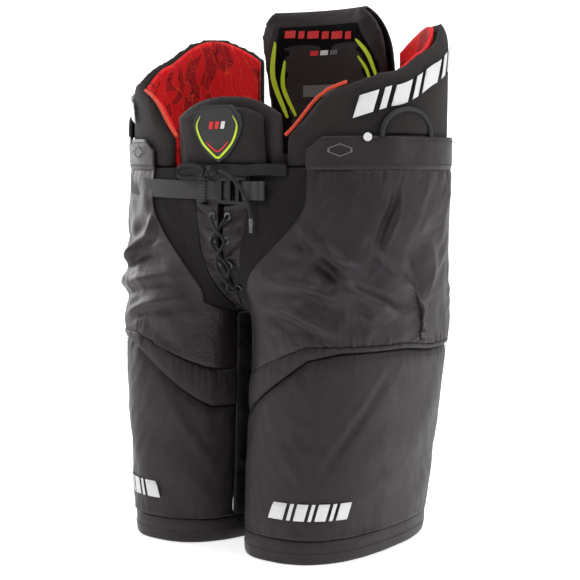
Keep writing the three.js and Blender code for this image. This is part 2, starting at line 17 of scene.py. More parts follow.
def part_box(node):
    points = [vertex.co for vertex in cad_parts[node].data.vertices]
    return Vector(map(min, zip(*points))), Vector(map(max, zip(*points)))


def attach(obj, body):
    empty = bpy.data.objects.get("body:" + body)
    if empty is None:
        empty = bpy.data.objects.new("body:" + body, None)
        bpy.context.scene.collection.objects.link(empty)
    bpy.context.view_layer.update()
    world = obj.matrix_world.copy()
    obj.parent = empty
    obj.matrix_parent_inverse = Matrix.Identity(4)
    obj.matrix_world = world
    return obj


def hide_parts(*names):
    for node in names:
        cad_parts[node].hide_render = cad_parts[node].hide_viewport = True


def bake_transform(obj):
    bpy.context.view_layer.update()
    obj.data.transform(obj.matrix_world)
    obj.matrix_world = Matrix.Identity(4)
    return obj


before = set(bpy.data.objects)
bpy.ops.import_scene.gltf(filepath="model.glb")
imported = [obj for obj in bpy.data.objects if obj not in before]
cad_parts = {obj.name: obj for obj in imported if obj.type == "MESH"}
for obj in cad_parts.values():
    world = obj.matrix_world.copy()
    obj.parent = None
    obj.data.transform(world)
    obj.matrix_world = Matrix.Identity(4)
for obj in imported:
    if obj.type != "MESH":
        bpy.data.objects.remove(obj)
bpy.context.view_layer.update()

MM = 0.001
LEAST_CUT = 0.31
LOG = logging.getLogger("hockey_pants")
Place = Callable[[float, float, float], Vector]
Colour = tuple[float, float, float]


def clamp(value: float, low: float = 0.0, high: float = 1.0) -> float:
    """Keeps a value between two limits."""
    return max(low, min(high, value))


def share(value: float, low: float, high: float) -> float:
    """How far a value has gone from low to high, from 0 to 1."""
    return clamp((value - low) / (high - low))


def ramp(value: float, low: float, high: float) -> float:
    """As share, with a soft start and end."""
    part = share(value, low, high)
    return part * part * (3 - 2 * part)


def mix(low: float, high: float, part: float) -> float:
    """The value that lies a part of the way from low to high."""
    return low + (high - low) * part


def bow(value: float, power: float) -> float:
    """A power that keeps the sign."""
    return math.copysign(abs(value) ** power, value)


def rumple(along: float, up: float, length: float, width: float, slant: float, seed: float) -> float:
    """Soft creases that run one way across cloth.

    Args:
        along: place along the cloth, mm.
        up: height on the cloth, mm.
        length: how long a crease is, mm.
        width: how wide a crease is, mm.
        slant: the creases' angle above level, degrees.
        seed: picks one pattern of creases.

    Returns:
        A height from about -1 to 1.
    """
    turn = math.radians(slant)
    run = (along * math.cos(turn) + up * math.sin(turn)) / length
    rise = (up * math.cos(turn) - along * math.sin(turn)) / width
    return noise.noise(Vector((run, rise, seed)))


@dataclass(frozen=True)
class Fold:
    """A long crease between two points of a panel, in degrees round and mm up."""

    start: tuple[float, float]
    end: tuple[float, float]
    width: float
    height: float
    per_degree: float = 2.7

    def lift(self, angle: float, z: float) -> float:
        """The crease's height at a point of the panel."""
        ax, ay = self.start[0] * self.per_degree, self.start[1]
        bx, by = self.end[0] * self.per_degree, self.end[1]
        px, py = angle * self.per_degree - ax, z - ay
        dx, dy = bx - ax, by - ay
        length = math.hypot(dx, dy)
        part = (px * dx + py * dy) / length**2
        if not -0.2 < part < 1.2:
            return 0.0
        away = (px * dy - py * dx) / length + 3.0 * math.sin(part * 5.0)
        ends = math.sin(math.pi * clamp(part * 0.72 + 0.14)) ** 2 if 0 <= part <= 1 else 0.19
        ends *= ramp(part, -0.2, 0.1) * (1 - ramp(part, 0.9, 1.2))
        ridge = math.exp(-((away / self.width) ** 2))
        dip = 0.45 * math.exp(-(((away - 1.9 * self.width) / self.width) ** 2))
        return self.height * ends * (ridge - dip)


class Side(Enum):
    """Which half of the pants a piece belongs to, as the wearer has it."""

    RIGHT = -1
    LEFT = 1

    @property
    def word(self) -> str:
        """The side's name in piece names."""
        return self.name.lower()


@dataclass(frozen=True)
class Form:
    """The stiff outline of the pants, in mm, as the frame has it."""

    waist_z: float = 416.0
    seat_z: float = 232.0
    crotch_z: float = 256.0
    hem_band: float = 26.0
    waist_half: tuple[float, float] = (195.0, 116.0)
    waist_square: float = 2.5
    seat_square: float = 4.0
    leg_square: float = 2.5
    leg_centre: float = 92.0
    leg_half: tuple[float, float] = (90.0, 127.0)
    hem_centre: float = 78.0
    hem_half: tuple[float, float] = (75.0, 126.0)
    hem_forward: float = 10.0
    valley: float = 72.0
    front_seam_low: float = 193.0
    yoke_low: float = 152.0
    rear_seam: float = 226.0
    rear_span: tuple[float, float] = (48.3, 130.0)
    inner_span: tuple[float, float] = (130.4, 210.4)
    eyelet_rows: int = 4
    eyelet_z: tuple[float, float] = (287.0, 365.0)
    eyelet_across: tuple[float, float] = (6.6, 10.5)
    forward: float = 4.927

    def leg(self, side: Side, angle: float, z: float, out: float) -> Vector:
        """A point on a leg: 0 is its outer side, -90 its front, 180 its inner side."""
        rise = clamp(min(z, self.seat_z) / self.seat_z)
        centre = mix(self.hem_centre, self.leg_centre, rise)
        half_x = mix(self.hem_half[0], self.leg_half[0], rise)
        half_y = mix(self.hem_half[1], self.leg_half[1], rise)
        shift = mix(-self.hem_forward, 0.0, rise)
        power = 2 / self.leg_square

        def at(turn: float) -> tuple[float, float]:
            """The outline in plan."""
            rad = math.radians(turn)
            return (
                centre + half_x * bow(math.cos(rad), power),
                shift + half_y * bow(math.sin(rad), power),
            )

        return self._outward(side, at, angle, z, out)

    def hips(self, side: Side, angle: float, z: float, out: float) -> Vector:
        """A point on the hips: 0 is the outer side, -90 the front middle, 90 the back."""
        half_x, half_y, square, sunk = self._hip_form(z)
        power = 2 / square

        def at(turn: float) -> tuple[float, float]:
            """The outline in plan."""
            rad = math.radians(turn)
            x = half_x * bow(math.cos(rad), power)
            y = half_y * bow(math.sin(rad), power)
            deep = mix(abs(y), self._leg_depth(x), sunk)
            return x, math.copysign(deep, y)

        return self._outward(side, at, angle, z, out)

    def _outward(self, side: Side, at: Callable, angle: float, z: float, out: float) -> Vector:
        """Moves a point of an outline straight out from it, in metres."""
        ahead, behind, here = at(angle + 1.2), at(angle - 1.2), at(angle)
        dx, dy = ahead[0] - behind[0], ahead[1] - behind[1]
        size = math.hypot(dx, dy) or 1.0
        x = here[0] + dy / size * out
        y = here[1] - dx / size * out + self.forward
        return Vector((side.value * x, y, z)) * MM

    def _hip_form(self, z: float) -> tuple[float, float, float, float]:
        """Half width, half depth, squareness and how deep the middle valley is."""
        rise = share(z, self.seat_z, self.waist_z)
        return (
            mix(self.leg_centre + self.leg_half[0], self.waist_half[0], rise),
            mix(self.leg_half[1], self.waist_half[1], rise),
            mix(self.seat_square, self.waist_square, math.sqrt(rise)),
            1 - ramp(z, self.crotch_z - 16, self.crotch_z + 84),
        )

    def _leg_depth(self, across: float) -> float:
        """How far forward a leg's outline lies at a distance across."""
        reach = abs(abs(across) - self.leg_centre) / self.leg_half[0]
        depth = self.leg_half[1] * max(1 - reach**self.leg_square, 0) ** (1 / self.leg_square)
        return max(depth, self.valley) if abs(across) < self.leg_centre else depth

    def angle_across(self, across: float, z: float) -> float:
        """The angle on the hips' front that lies this far across."""
        half_x, _, square, _ = self._hip_form(z)
        part = clamp(across / half_x, -1, 1)
        return -math.degrees(math.acos(bow(part, square / 2)))

    def front(self, across: float, z: float, out: float) -> Vector:
        """A point on the front of the hips by its distance across."""
        side = Side.RIGHT if across < 0 else Side.LEFT
        return self.hips(side, self.angle_across(abs(across), z), z, out)

    def facing(self, across: float, z: float) -> Vector:
        """The direction that the front faces at a point."""
        right = self.front(across + 3, z, 0) - self.front(across - 3, z, 0)
        up = self.front(across, z + 6, 0) - self.front(across, z - 6, 0)
        return right.cross(up).normalized()

    def thigh_seam(self, x: float, y: float) -> float:
        """The height of the seam that joins a leg to the hips."""
        front = mix(self.front_seam_low, self.seat_z, share(abs(x), 26, 118))
        return mix(front, self.rear_seam, ramp(y, -40, 30))

    def yoke_seam(self, x: float, y: float) -> float:
        """The height of the seam under the yoke."""
        fall = mix(self.front_seam_low - self.yoke_low, 7, share(abs(x), 26, 150))
        return self.thigh_seam(x, y) - mix(fall, 7, ramp(y, -60, -10))

    def meet(self, seam: Callable, column: Callable) -> float:
        """The height where a column of a panel reaches a seam."""
        z = self.seat_z
        for _ in range(6):
            point = column(z)
            z = seam(point.x / MM, point.y / MM - self.forward)
        return z

    @lru_cache(maxsize=None)
    def _leg_seam(self, which: str, angle: float) -> float:
        """Works out a seam's height once for each angle."""
        seam = self.thigh_seam if which == "thigh" else self.yoke_seam
        return self.meet(seam, lambda z: self.leg(Side.LEFT, angle, z, 0))

    def leg_seam(self, which: str, angle: float) -> float:
        """The height of the thigh seam or the yoke seam at an angle round a leg."""
        return self._leg_seam(which, round(angle, 2))

    def eyelet(self, row: float) -> tuple[float, float]:
        """How far across an eyelet lies, and how high, by its row from the bottom."""
        part = row / (self.eyelet_rows - 1)
        return mix(*self.eyelet_across, part), mix(*self.eyelet_z, part)

    def inner_top(self, angle: float) -> float:
        """The top of the inner leg panel at an angle."""
        y = self.leg(Side.LEFT, angle, self.seat_z, 0).y / MM - self.forward
        return 240 - 25 * (y / 80) ** 2

    def shell_edge(self, z: float) -> float:
        """How far across the shell's front edge lies at a height."""
        groin = mix(12.8, 38, share(z, self.crotch_z + 2, self.crotch_z + 19))
        run = math.sin(share(z, self.crotch_z + 19, self.waist_z - 30) * math.pi / 2)
        return mix(groin, 105, run**1.2)

    def fly_edge(self, z: float) -> float:
        """How far across the fly panel's edge lies at a height."""
        low, high = self.crotch_z + 9, self.waist_z - 31
        return mix(11, 37, share(z, low, high) ** 0.8)

    def hip_top(self, angle: float) -> float:
        """The height of a hip pad's rim at an angle."""
        edge = mix(30, 79, ramp(angle, -75, -54))
        shoulder = 24 * share(angle, -56, -26) ** 0.8
        peak = (162 - 79 - 24) * math.sin(share(angle, -26, 36) * math.pi / 2) ** 1.7
        return self.waist_z + edge + shoulder + peak - 29 * share(angle, 36, 64) ** 2


TAPE_LOW, TAPE_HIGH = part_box("crotch_tape")
FORM = Form(
    waist_z=round(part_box("waist_facing")[1].z / MM, 3),
    forward=round((TAPE_LOW.y + TAPE_HIGH.y) / 2 / MM, 3),
)


# ---- Finishes ----


def sum_method(operation: str, swapped: bool = False) -> Callable:
    """Makes a method that adds one Math node; swapped puts the other value first."""

    def method(self: "Wire", *other: object) -> "Wire":
        """Adds the node."""
        values = (*other, self) if swapped else (self, *other)
        return self.bench.math(operation, *values)

    return method


class Wire:
    """A shader value that takes part in ordinary sums."""

    __add__, __radd__ = sum_method("ADD"), sum_method("ADD", True)
    __sub__, __rsub__ = sum_method("SUBTRACT"), sum_method("SUBTRACT", True)
    __mul__, __rmul__ = sum_method("MULTIPLY"), sum_method("MULTIPLY", True)
    __truediv__, __abs__ = sum_method("DIVIDE"), sum_method("ABSOLUTE")
    __gt__, __lt__ = sum_method("GREATER_THAN"), sum_method("LESS_THAN")
    sine, fract, floor = sum_method("SINE"), sum_method("FRACT"), sum_method("FLOOR")

    def __init__(self, bench: "Bench", socket: bpy.types.NodeSocket) -> None:
        """Wraps a node's output socket."""
        self.bench = bench
        self.socket = socket


class Bench:
    """Builds one material's nodes."""

    def __init__(self, name: str) -> None:
        """Starts an empty material with a Principled shader."""
        self.material = bpy.data.materials.new(name)
        self.material.use_nodes = True
        self.tree = self.material.node_tree
        self.shader = self.tree.nodes["Principled BSDF"]

    def node(self, kind: str, settings: dict | None = None, **inputs: object) -> bpy.types.Node:
        """Adds a node.

        Args:
            kind: the node's type.
            settings: its own settings; "stops" sets a colour ramp.
            inputs: values or wires by socket name, with _ for a space, or i0, i1 by place.

        Returns:
            The node.
        """
        made = self.tree.nodes.new(kind)
        for key, value in (settings or {}).items():
            if key == "stops":
                self._stops(made.color_ramp, value)
            else:
                setattr(made, key, value)
        for key, value in inputs.items():
            place = int(key[1:]) if key[0] == "i" and key[1:].isdigit() else key.replace("_", " ")
            self.plug(made.inputs[place], value)
        return made

    @staticmethod
    def _stops(band: bpy.types.ColorRamp, stops: Sequence[tuple[float, Colour]]) -> None:
        """Sets a colour ramp's stops."""
        while len(band.elements) < len(stops):
            band.elements.new(1.0)
        for element, (place, colour) in zip(band.elements, stops):
            element.position = place
            element.color = (*colour, 1)

    def plug(self, socket: bpy.types.NodeSocket, value: object) -> None:
        """Links a wire to a socket, or sets the socket's own value."""
        if isinstance(value, Wire):
            self.tree.links.new(value.socket, socket)
        elif isinstance(value, tuple) and len(value) == 3 and socket.type == "RGBA":
            socket.default_value = (*value, 1)
        else:
            socket.default_value = value

    def math(self, operation: str, *values: object) -> Wire:
        """Adds a Math node."""
        inputs = {f"i{k}": value for k, value in enumerate(values)}
        return Wire(self, self.node("ShaderNodeMath", {"operation": operation}, **inputs).outputs[0])

    def blend(self, first: object, second: object, part: object) -> Wire:
        """Mixes two colours."""
        made = self.node("ShaderNodeMix", {"data_type": "RGBA"}, i0=part, i6=first, i7=second)
        return Wire(self, made.outputs[2])

    def cloth(self) -> tuple[Wire, Wire, Wire]:
        """The place on the piece's own cloth, along and up, in mm, and as a vector."""
        spot = self.node("ShaderNodeTexCoord")
        size = self.node(
            "ShaderNodeVectorMath", {"operation": "SCALE"}, i0=Wire(self, spot.outputs["UV"]), i3=1000.0
        )
        parts = self.node("ShaderNodeSeparateXYZ", None, i0=Wire(self, size.outputs[0]))
        return Wire(self, parts.outputs[0]), Wire(self, parts.outputs[1]), Wire(self, size.outputs[0])

    def solid(self) -> Wire:
        """The place in the object, in metres, as a vector."""
        return Wire(self, self.node("ShaderNodeTexCoord").outputs["Object"])

    def noise(self, spot: Wire, scale: float, detail: float = 3.0, rough: float = 0.55) -> Wire:
        """Cloudy variation from 0 to 1."""
        made = self.node(
            "ShaderNodeTexNoise", None, Vector=spot, Scale=scale, Detail=detail, Roughness=rough
        )
        return Wire(self, made.outputs["Fac"])

    def bump(self, height: Wire, depth: float, strength: float = 1.0, under: object = None) -> Wire:
        """Turns a height into a normal; depth is in metres."""
        made = self.node("ShaderNodeBump", None, Height=height, Distance=depth, Strength=strength)
        if under is not None:
            self.plug(made.inputs["Normal"], under)
        return Wire(self, made.outputs[0])

    def finish(self, **sockets: object) -> bpy.types.Material:
        """Sets the shader's sockets, named with _ for a space."""
        for key, value in sockets.items():
            self.plug(self.shader.inputs[key.replace("_", " ")], value)
        return self.material


@dataclass(frozen=True)
class Woven:
    """Plain woven nylon with a soft lighter sheen."""

    name: str
    dark: Colour
    light: Colour
    rough: float = 0.55
    thread: float = 0.9
    sheen: float = 0.35
    crumple: float = 0.6
    gloss: Colour = (1.0, 0.87, 0.95)

    def make(self) -> bpy.types.Material:
        """Builds the material."""
        bench = Bench(self.name)
        along, up, cloth = bench.cloth()
        pitch = math.pi / self.thread
        warp, weft = (along * pitch).sine(), (up * pitch).sine()
        over = (warp * weft) > 0.0
        weave = abs(warp) * over + abs(weft) * (1 - over)
        spot = bench.solid()
        cloud = bench.noise(spot, 14.0, 4.0)
        dust = bench.noise(spot, 420.0, 2.0)
        slub = bench.noise(cloth, 0.35, 2.0)
        tint = cloud * 0.7 + dust * 0.18 + weave * 0.16 + slub * 0.1
        colour = bench.blend(self.dark, self.light, tint)
        crease = bench.noise(spot, 55.0, 5.0, 0.62) + 0.5 * abs(bench.noise(spot, 26.0, 3.0) - 0.5)
        folds = bench.bump(crease, 0.0032, self.crumple)
        normal = bench.bump(weave + slub * 0.6, 0.00012, 0.8, folds)
        return bench.finish(
            Base_Color=colour,
            Roughness=self.rough - 0.12 + cloud * 0.2 + dust * 0.08,
            Normal=normal,
            Sheen_Weight=self.sheen,
            Sheen_Roughness=0.45,
            Sheen_Tint=(0.86, 0.8, 0.9),
            Specular_IOR_Level=0.42,
            Specular_Tint=self.gloss,
        )


@dataclass(frozen=True)
class Knitted:
    """Matte knit with fine slanted stitches."""

    name: str
    dark: Colour
    light: Colour
    loop: float = 1.7
    sheen: float = 0.07
    shine: float = 0.2

    def make(self) -> bpy.types.Material:
        """Builds the material."""
        bench = Bench(self.name)
        along, up, _ = bench.cloth()
        wale = (along * (math.tau / self.loop)).sine()
        course = ((up + abs(wale) * 0.7) * (math.tau / (self.loop * 0.8))).sine()
        loops = (wale * 0.5 + 0.5) * (course * 0.35 + 0.65)
        spot = bench.solid()
        cloud = bench.noise(spot, 18.0, 3.0)
        fuzz = bench.noise(spot, 900.0, 2.0)
        colour = bench.blend(self.dark, self.light, loops * 0.45 + cloud * 0.35 + fuzz * 0.25)
        pillow = bench.bump(bench.noise(spot, 45.0, 3.0), 0.0012, 0.4)
        normal = bench.bump(loops + fuzz * 0.5, 0.0003, 0.8, pillow)
        return bench.finish(
            Base_Color=colour,
            Roughness=0.82 + fuzz * 0.12,
            Normal=normal,
            Sheen_Weight=self.sheen,
            Sheen_Roughness=0.6,
            Sheen_Tint=(0.8, 0.76, 0.75),
            Specular_IOR_Level=self.shine,
        )


@dataclass(frozen=True)
class Faceted:
    """Red lining printed with triangles, some of them hatched dark."""

    name: str = "faceted_lining"
    red: Colour = (0.8, 0.005, 0.01)
    deep: Colour = (0.09, 0.002, 0.004)
    line: Colour = (0.9, 0.07, 0.03)
    size: float = 21.0

    def make(self) -> bpy.types.Material:
        """Builds the material."""
        bench = Bench(self.name)
        along, up, cloth = bench.cloth()
        along = along + (bench.noise(cloth, 0.045, 1.0) - 0.5) * 34
        up = up + (bench.noise(cloth, 0.05, 1.0) - 0.5) * 30
        lean = along / self.size - up / (self.size * 1.732)
        rise = up / (self.size * 0.866)
        part_a, part_b = lean.fract(), rise.fract()
        upper = (part_a + part_b) > 1.0
        cell = lean.floor() * 7.13 + rise.floor() * 13.7 + upper * 3.31
        pick = (cell.sine() * 43758.5).fract()
        hatched = pick > 0.62
        stripes = ((along * 0.62 + up * (pick + 0.4)) * (math.tau / 2.6)).sine() > 0.1
        edge = bench.math("MINIMUM", part_a, part_b)
        edge = bench.math("MINIMUM", edge, abs(part_a + part_b - 1.0))
        seam = edge < 0.028
        shade = bench.blend(self.red, self.deep, hatched * (stripes * 0.7 + 0.25))
        shade = bench.blend(shade, self.line, seam * 0.8)
        spot = bench.solid()
        cloud = bench.noise(spot, 20.0, 3.0)
        colour = bench.blend(shade, (0.5, 0.004, 0.008), cloud * 0.3)
        weave = abs((along * 4.2).sine()) + abs((up * 4.2).sine())
        soft = bench.bump(bench.noise(spot, 60.0, 3.0), 0.0012, 0.5)
        normal = bench.bump(weave, 0.0001, 0.6, soft)
        return bench.finish(
            Base_Color=colour,
            Roughness=0.48 + cloud * 0.18,
            Normal=normal,
            Sheen_Weight=0.02,
            Specular_IOR_Level=0.22,
        )


@dataclass(frozen=True)
class OpenMesh:
    """Stretch mesh with small round holes."""

    name: str = "open_mesh"
    dark: Colour = (0.0006, 0.0005, 0.0005)
    light: Colour = (0.019, 0.016, 0.0155)
    hole: float = 3.3

    def make(self) -> bpy.types.Material:
        """Builds the material."""
        bench = Bench(self.name)
        along, up, _ = bench.cloth()
        slant = along * 0.78 - up * 0.62
        rise = along * 0.62 + up * 0.78
        row = (rise / (self.hole * 0.866)).floor()
        half = (row * 0.5).fract()
        across = ((slant / self.hole) + half).fract() - 0.5
        high = (rise / (self.hole * 0.866)).fract() - 0.5
        away = bench.math("SQRT", across * across + high * high)
        open_part = 1 - bench.math("SMOOTH_MIN", away * 3.0, 1.0, 0.2)
        spot = bench.solid()
        cloud = bench.noise(spot, 22.0, 3.0)
        colour = bench.blend(self.light, self.dark, open_part * 1.2 + cloud * 0.25)
        normal = bench.bump(1 - open_part, 0.0004, 0.9)
        return bench.finish(
            Base_Color=colour,
            Roughness=0.7 + cloud * 0.15,
            Normal=normal,
            Sheen_Weight=0.01,
            Specular_IOR_Level=0.12,
        )


@dataclass(frozen=True)
class Ribbed:
    """Narrow webbing, cord or tape with ribs across it."""

    name: str
    dark: Colour
    light: Colour
    rib: float = 1.5
    slant: float = 0.0
    rough: float = 0.7

    def make(self) -> bpy.types.Material:
        """Builds the material."""
        bench = Bench(self.name)
        along, up, _ = bench.cloth()
        ribs = ((along + up * self.slant) * (math.tau / self.rib)).sine() * 0.5 + 0.5
        cross = abs((up * (math.pi / 1.1)).sine())
        spot = bench.solid()
        cloud = bench.noise(spot, 60.0, 3.0)
        fuzz = bench.noise(spot, 1100.0, 2.0)
        colour = bench.blend(self.dark, self.light, ribs * 0.5 + cross * 0.2 + cloud * 0.25 + fuzz * 0.15)
        normal = bench.bump(ribs + cross * 0.35 + fuzz * 0.2, 0.0003, 0.9)
        return bench.finish(
            Base_Color=colour, Roughness=self.rough + fuzz * 0.12, Normal=normal,
            Sheen_Weight=0.06, Specular_IOR_Level=0.35,
        )


@dataclass(frozen=True)
class Moulded:
    """Moulded plastic, rubber or a printed film, with fine grain and rubbed spots."""

    name: str
    colour: Colour
    worn: Colour
    rough: float = 0.4
    grain: float = 0.5
    metal: float = 0.0
    coat: float = 0.0

    def make(self) -> bpy.types.Material:
        """Builds the material."""
        bench = Bench(self.name)
        spot = bench.solid()
        grain = bench.noise(spot, 1500.0, 2.0)
        cloud = bench.noise(spot, 40.0, 4.0)
        rub = bench.node(
            "ShaderNodeValToRGB", {"stops": [(0.52, (0, 0, 0)), (0.78, (1, 1, 1))]}, Fac=cloud
        )
        colour = bench.blend(self.colour, self.worn, Wire(bench, rub.outputs[0]) * 0.45 + grain * 0.1)
        normal = bench.bump(grain, 0.00015, self.grain)
        return bench.finish(
            Base_Color=colour,
            Roughness=self.rough + grain * 0.1 + cloud * 0.12,
            Metallic=self.metal,
            Normal=normal,
            Coat_Weight=self.coat,
        )


class Finish(Enum):
    """Every finish on the pants."""

    SHELL = Woven("shell_nylon", (0.0038, 0.0028, 0.0034), (0.012, 0.0092, 0.0108), 0.38, 0.9, 0.04, 0.42)
    COVER = Woven("thigh_nylon", (0.0034, 0.0026, 0.003), (0.0095, 0.0073, 0.0083), 0.42, 0.9, 0.035, 0.4)
    GLOSS = Woven("gathered_nylon", (0.002, 0.002, 0.0024), (0.007, 0.006, 0.007), 0.28, 0.7, 0.02, 0.5)
    KNIT = Knitted("pad_knit", (0.006, 0.0048, 0.0048), (0.034, 0.0285, 0.028))
    SPINE_FACE = Knitted(
        "spine_face_knit", (0.0012, 0.001, 0.001), (0.0045, 0.0035, 0.0036), 1.2, 0.02, 0.07
    )
    SPINE_RIM = Woven("spine_rim_cloth", (0.007, 0.005, 0.0045), (0.02, 0.015, 0.013), 0.62, 0.9, 0.08, 0.5)
    LINING = Faceted()
    MESH = OpenMesh()
    FOAM = Woven("foam_backing", (0.005, 0.005, 0.005), (0.017, 0.0165, 0.0165), 0.8, 1.4, 0.08, 0.5)
    WEBBING = Ribbed("belt_webbing", (0.01, 0.009, 0.0088), (0.056, 0.052, 0.05), 1.9)
    TAPE = Ribbed("waist_tape_weave", (0.0025, 0.0022, 0.0024), (0.013, 0.0115, 0.012), 1.2, 0.4)
    LACE = Ribbed("round_lace_braid", (0.002, 0.002, 0.002), (0.016, 0.015, 0.015), 1.6, 1.0)
    THREAD = Ribbed("sewing_thread", (0.004, 0.0036, 0.004), (0.02, 0.018, 0.02), 0.5, 1.0)
    PIPING = Ribbed("edge_piping", (0.5, 0.03, 0.012), (0.85, 0.1, 0.04), 1.4, 0.3)
    RUBBER = Moulded("badge_rubber", (0.022, 0.022, 0.023), (0.045, 0.045, 0.045), 0.38)
    ARCH = Moulded("arch_rubber", (0.009, 0.0088, 0.0085), (0.022, 0.021, 0.02), 0.55)
    LIME = Moulded("lime_print", (0.55, 0.74, 0.015), (0.7, 0.85, 0.12), 0.45, 0.2)
    RED_PRINT = Moulded("red_print", (0.66, 0.02, 0.02), (0.8, 0.08, 0.06), 0.45, 0.2)
    WHITE_PRINT = Moulded("white_print", (0.72, 0.72, 0.71), (0.55, 0.55, 0.55), 0.5, 0.2)
    GREY_PRINT = Moulded("grey_print", (0.13, 0.13, 0.13), (0.08, 0.08, 0.08), 0.55, 0.2)
    BUTTON = Moulded("button_plastic", (0.75, 0.75, 0.73), (0.6, 0.6, 0.58), 0.3, 0.2, 0.0, 0.3)
    PLASTIC = Moulded("buckle_plastic", (0.006, 0.006, 0.0065), (0.03, 0.03, 0.032), 0.25, 0.4, 0.0, 0.3)
    METAL = Moulded("eyelet_metal", (0.10, 0.10, 0.10), (0.5, 0.49, 0.47), 0.32, 0.2, 0.85)

    def material(self) -> bpy.types.Material:
        """The finish's material, made once."""
        return bpy.data.materials.get(self.value.name) or self.value.make()


# ---- Making pieces ----


@dataclass
class Piece:
    """A mesh on its way to becoming a finished object."""

    name: str
    mesh: bmesh.types.BMesh

    def done(
        self, finish: Finish, body: str | None, slot: str, *nodes: str, smooth: bool = True
    ) -> bpy.types.Object:
        """Turns the mesh into an object that rides, shows its finish and stands for nodes.

        Args:
            finish: the finish it shows.
            body: the body it moves with; None leaves it unattached.
            slot: the record's material slot; not used.
            nodes: the frame nodes that it stands for.
            smooth: whether its faces shade smoothly.

        Returns:
            The object.
        """
        data = bpy.data.meshes.new(self.name)
        self.mesh.to_mesh(data)
        self.mesh.free()
        if smooth:
            data.shade_smooth()
        data.materials.append(finish.material())
        made = bpy.data.objects.new(self.name, data)
        bpy.context.scene.collection.objects.link(made)
        if body:
            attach(made, body)
        if nodes:
            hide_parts(*nodes)
        LOG.info("%s: %d faces", self.name, len(data.polygons))
        return made


def slab(name: str, along: int, up: int, place: Place, size: tuple[float, float]) -> Piece:
    """A closed slab of cloth or padding.

    Args:
        name: the piece's name.
        along: faces along it.
        up: faces up it.
        place: gives the point for 0..1 along, up and from the face (0) to the back (1).
        size: its cloth's length and height, mm.

    Returns:
        The piece.
    """
    mesh = bmesh.new()
    bmesh.ops.create_grid(mesh, x_segments=along, y_segments=up, size=0.5)
    spot = mesh.verts.layers.float_vector.new("spot")
    for vert in mesh.verts:
        vert[spot] = Vector((vert.co.x + 0.5, vert.co.y + 0.5, 0))
    face = list(mesh.faces)
    made = bmesh.ops.extrude_face_region(mesh, geom=face, use_keep_orig=True)
    for part in made["geom"]:
        if isinstance(part, bmesh.types.BMVert):
            part[spot] = Vector((part[spot].x, part[spot].y, 1))
    for vert in mesh.verts:
        vert.co = place(*vert[spot])
    chart = mesh.loops.layers.uv.new("UVMap")
    for side in mesh.faces:
        for loop in side.loops:
            at = loop.vert[spot]
            loop[chart].uv = (at.x * size[0] * MM, (at.y * size[1] + at.z * 3) * MM)
    bmesh.ops.recalc_face_normals(mesh, faces=mesh.faces)
    mesh.verts.layers.float_vector.remove(mesh.verts.layers.float_vector["spot"])
    return Piece(name, mesh)


def hoop(name: str, around: int, across: int, place: Place, size: tuple[float, float]) -> Piece:
    """A closed band with a rounded section.

    Args:
        name: the piece's name.
        around: faces round it.
        across: faces round its section.
        place: gives the point for a turn in degrees, and the section's cosine and sine.
        size: its cloth's length and girth, mm.

    Returns:
        The piece.
    """
    mesh = bmesh.new()
    ring = bmesh.ops.create_circle(mesh, segments=across, radius=1.0)["verts"]
    for vert in ring:
        vert.co.x += 3.0
    bmesh.ops.spin(
        mesh, geom=mesh.verts[:] + mesh.edges[:], cent=(0, 0, 0), axis=(0, 1, 0),
        angle=math.tau, steps=around, use_merge=True, use_duplicate=False,
    )
    chart = mesh.loops.layers.uv.new("UVMap")
    spots = {}
    for vert in mesh.verts:
        reach = math.hypot(vert.co.x, vert.co.z) - 3.0
        spots[vert] = (math.degrees(math.atan2(vert.co.z, vert.co.x)), reach, vert.co.y)
    for side in mesh.faces:
        first = spots[side.verts[0]][0]
        for loop in side.loops:
            turn, reach, rise = spots[loop.vert]
            turn += 360 * round((first - turn) / 360)
            girth = math.atan2(rise, reach) / math.tau + 0.5
            loop[chart].uv = ((turn / 360 + 0.5) * size[0] * MM, girth * size[1] * MM)
    for vert, (turn, reach, rise) in spots.items():
        vert.co = place(turn, reach, rise)
    bmesh.ops.recalc_face_normals(mesh, faces=mesh.faces)
    return Piece(name, mesh)


def smooth_path(points: Sequence[Vector], steps: int, closed: bool = False) -> list[Vector]:
    """A Catmull-Rom line through points."""
    count = len(points)
    spans = count if closed else count - 1
    line = []
    for k in range(spans * steps + (0 if closed else 1)):
        span, part = divmod(k, steps)
        t = part / steps

        def at(n: int) -> Vector:
            """The point by number, held at an open line's ends."""
            return points[n % count] if closed else points[max(0, min(count - 1, n))]

        p0, p1, p2, p3 = (at(span + n) for n in (-1, 0, 1, 2))
        line.append(
            0.5 * (2 * p1 + (p2 - p0) * t + (2 * p0 - 5 * p1 + 4 * p2 - p3) * t * t
                   + (3 * p1 - p0 - 3 * p2 + p3) * t**3)
        )
    return line


def path_length(line: Sequence[Vector]) -> float:
    """The length of a line of points."""
    return sum((b - a).length for a, b in zip(line, line[1:]))


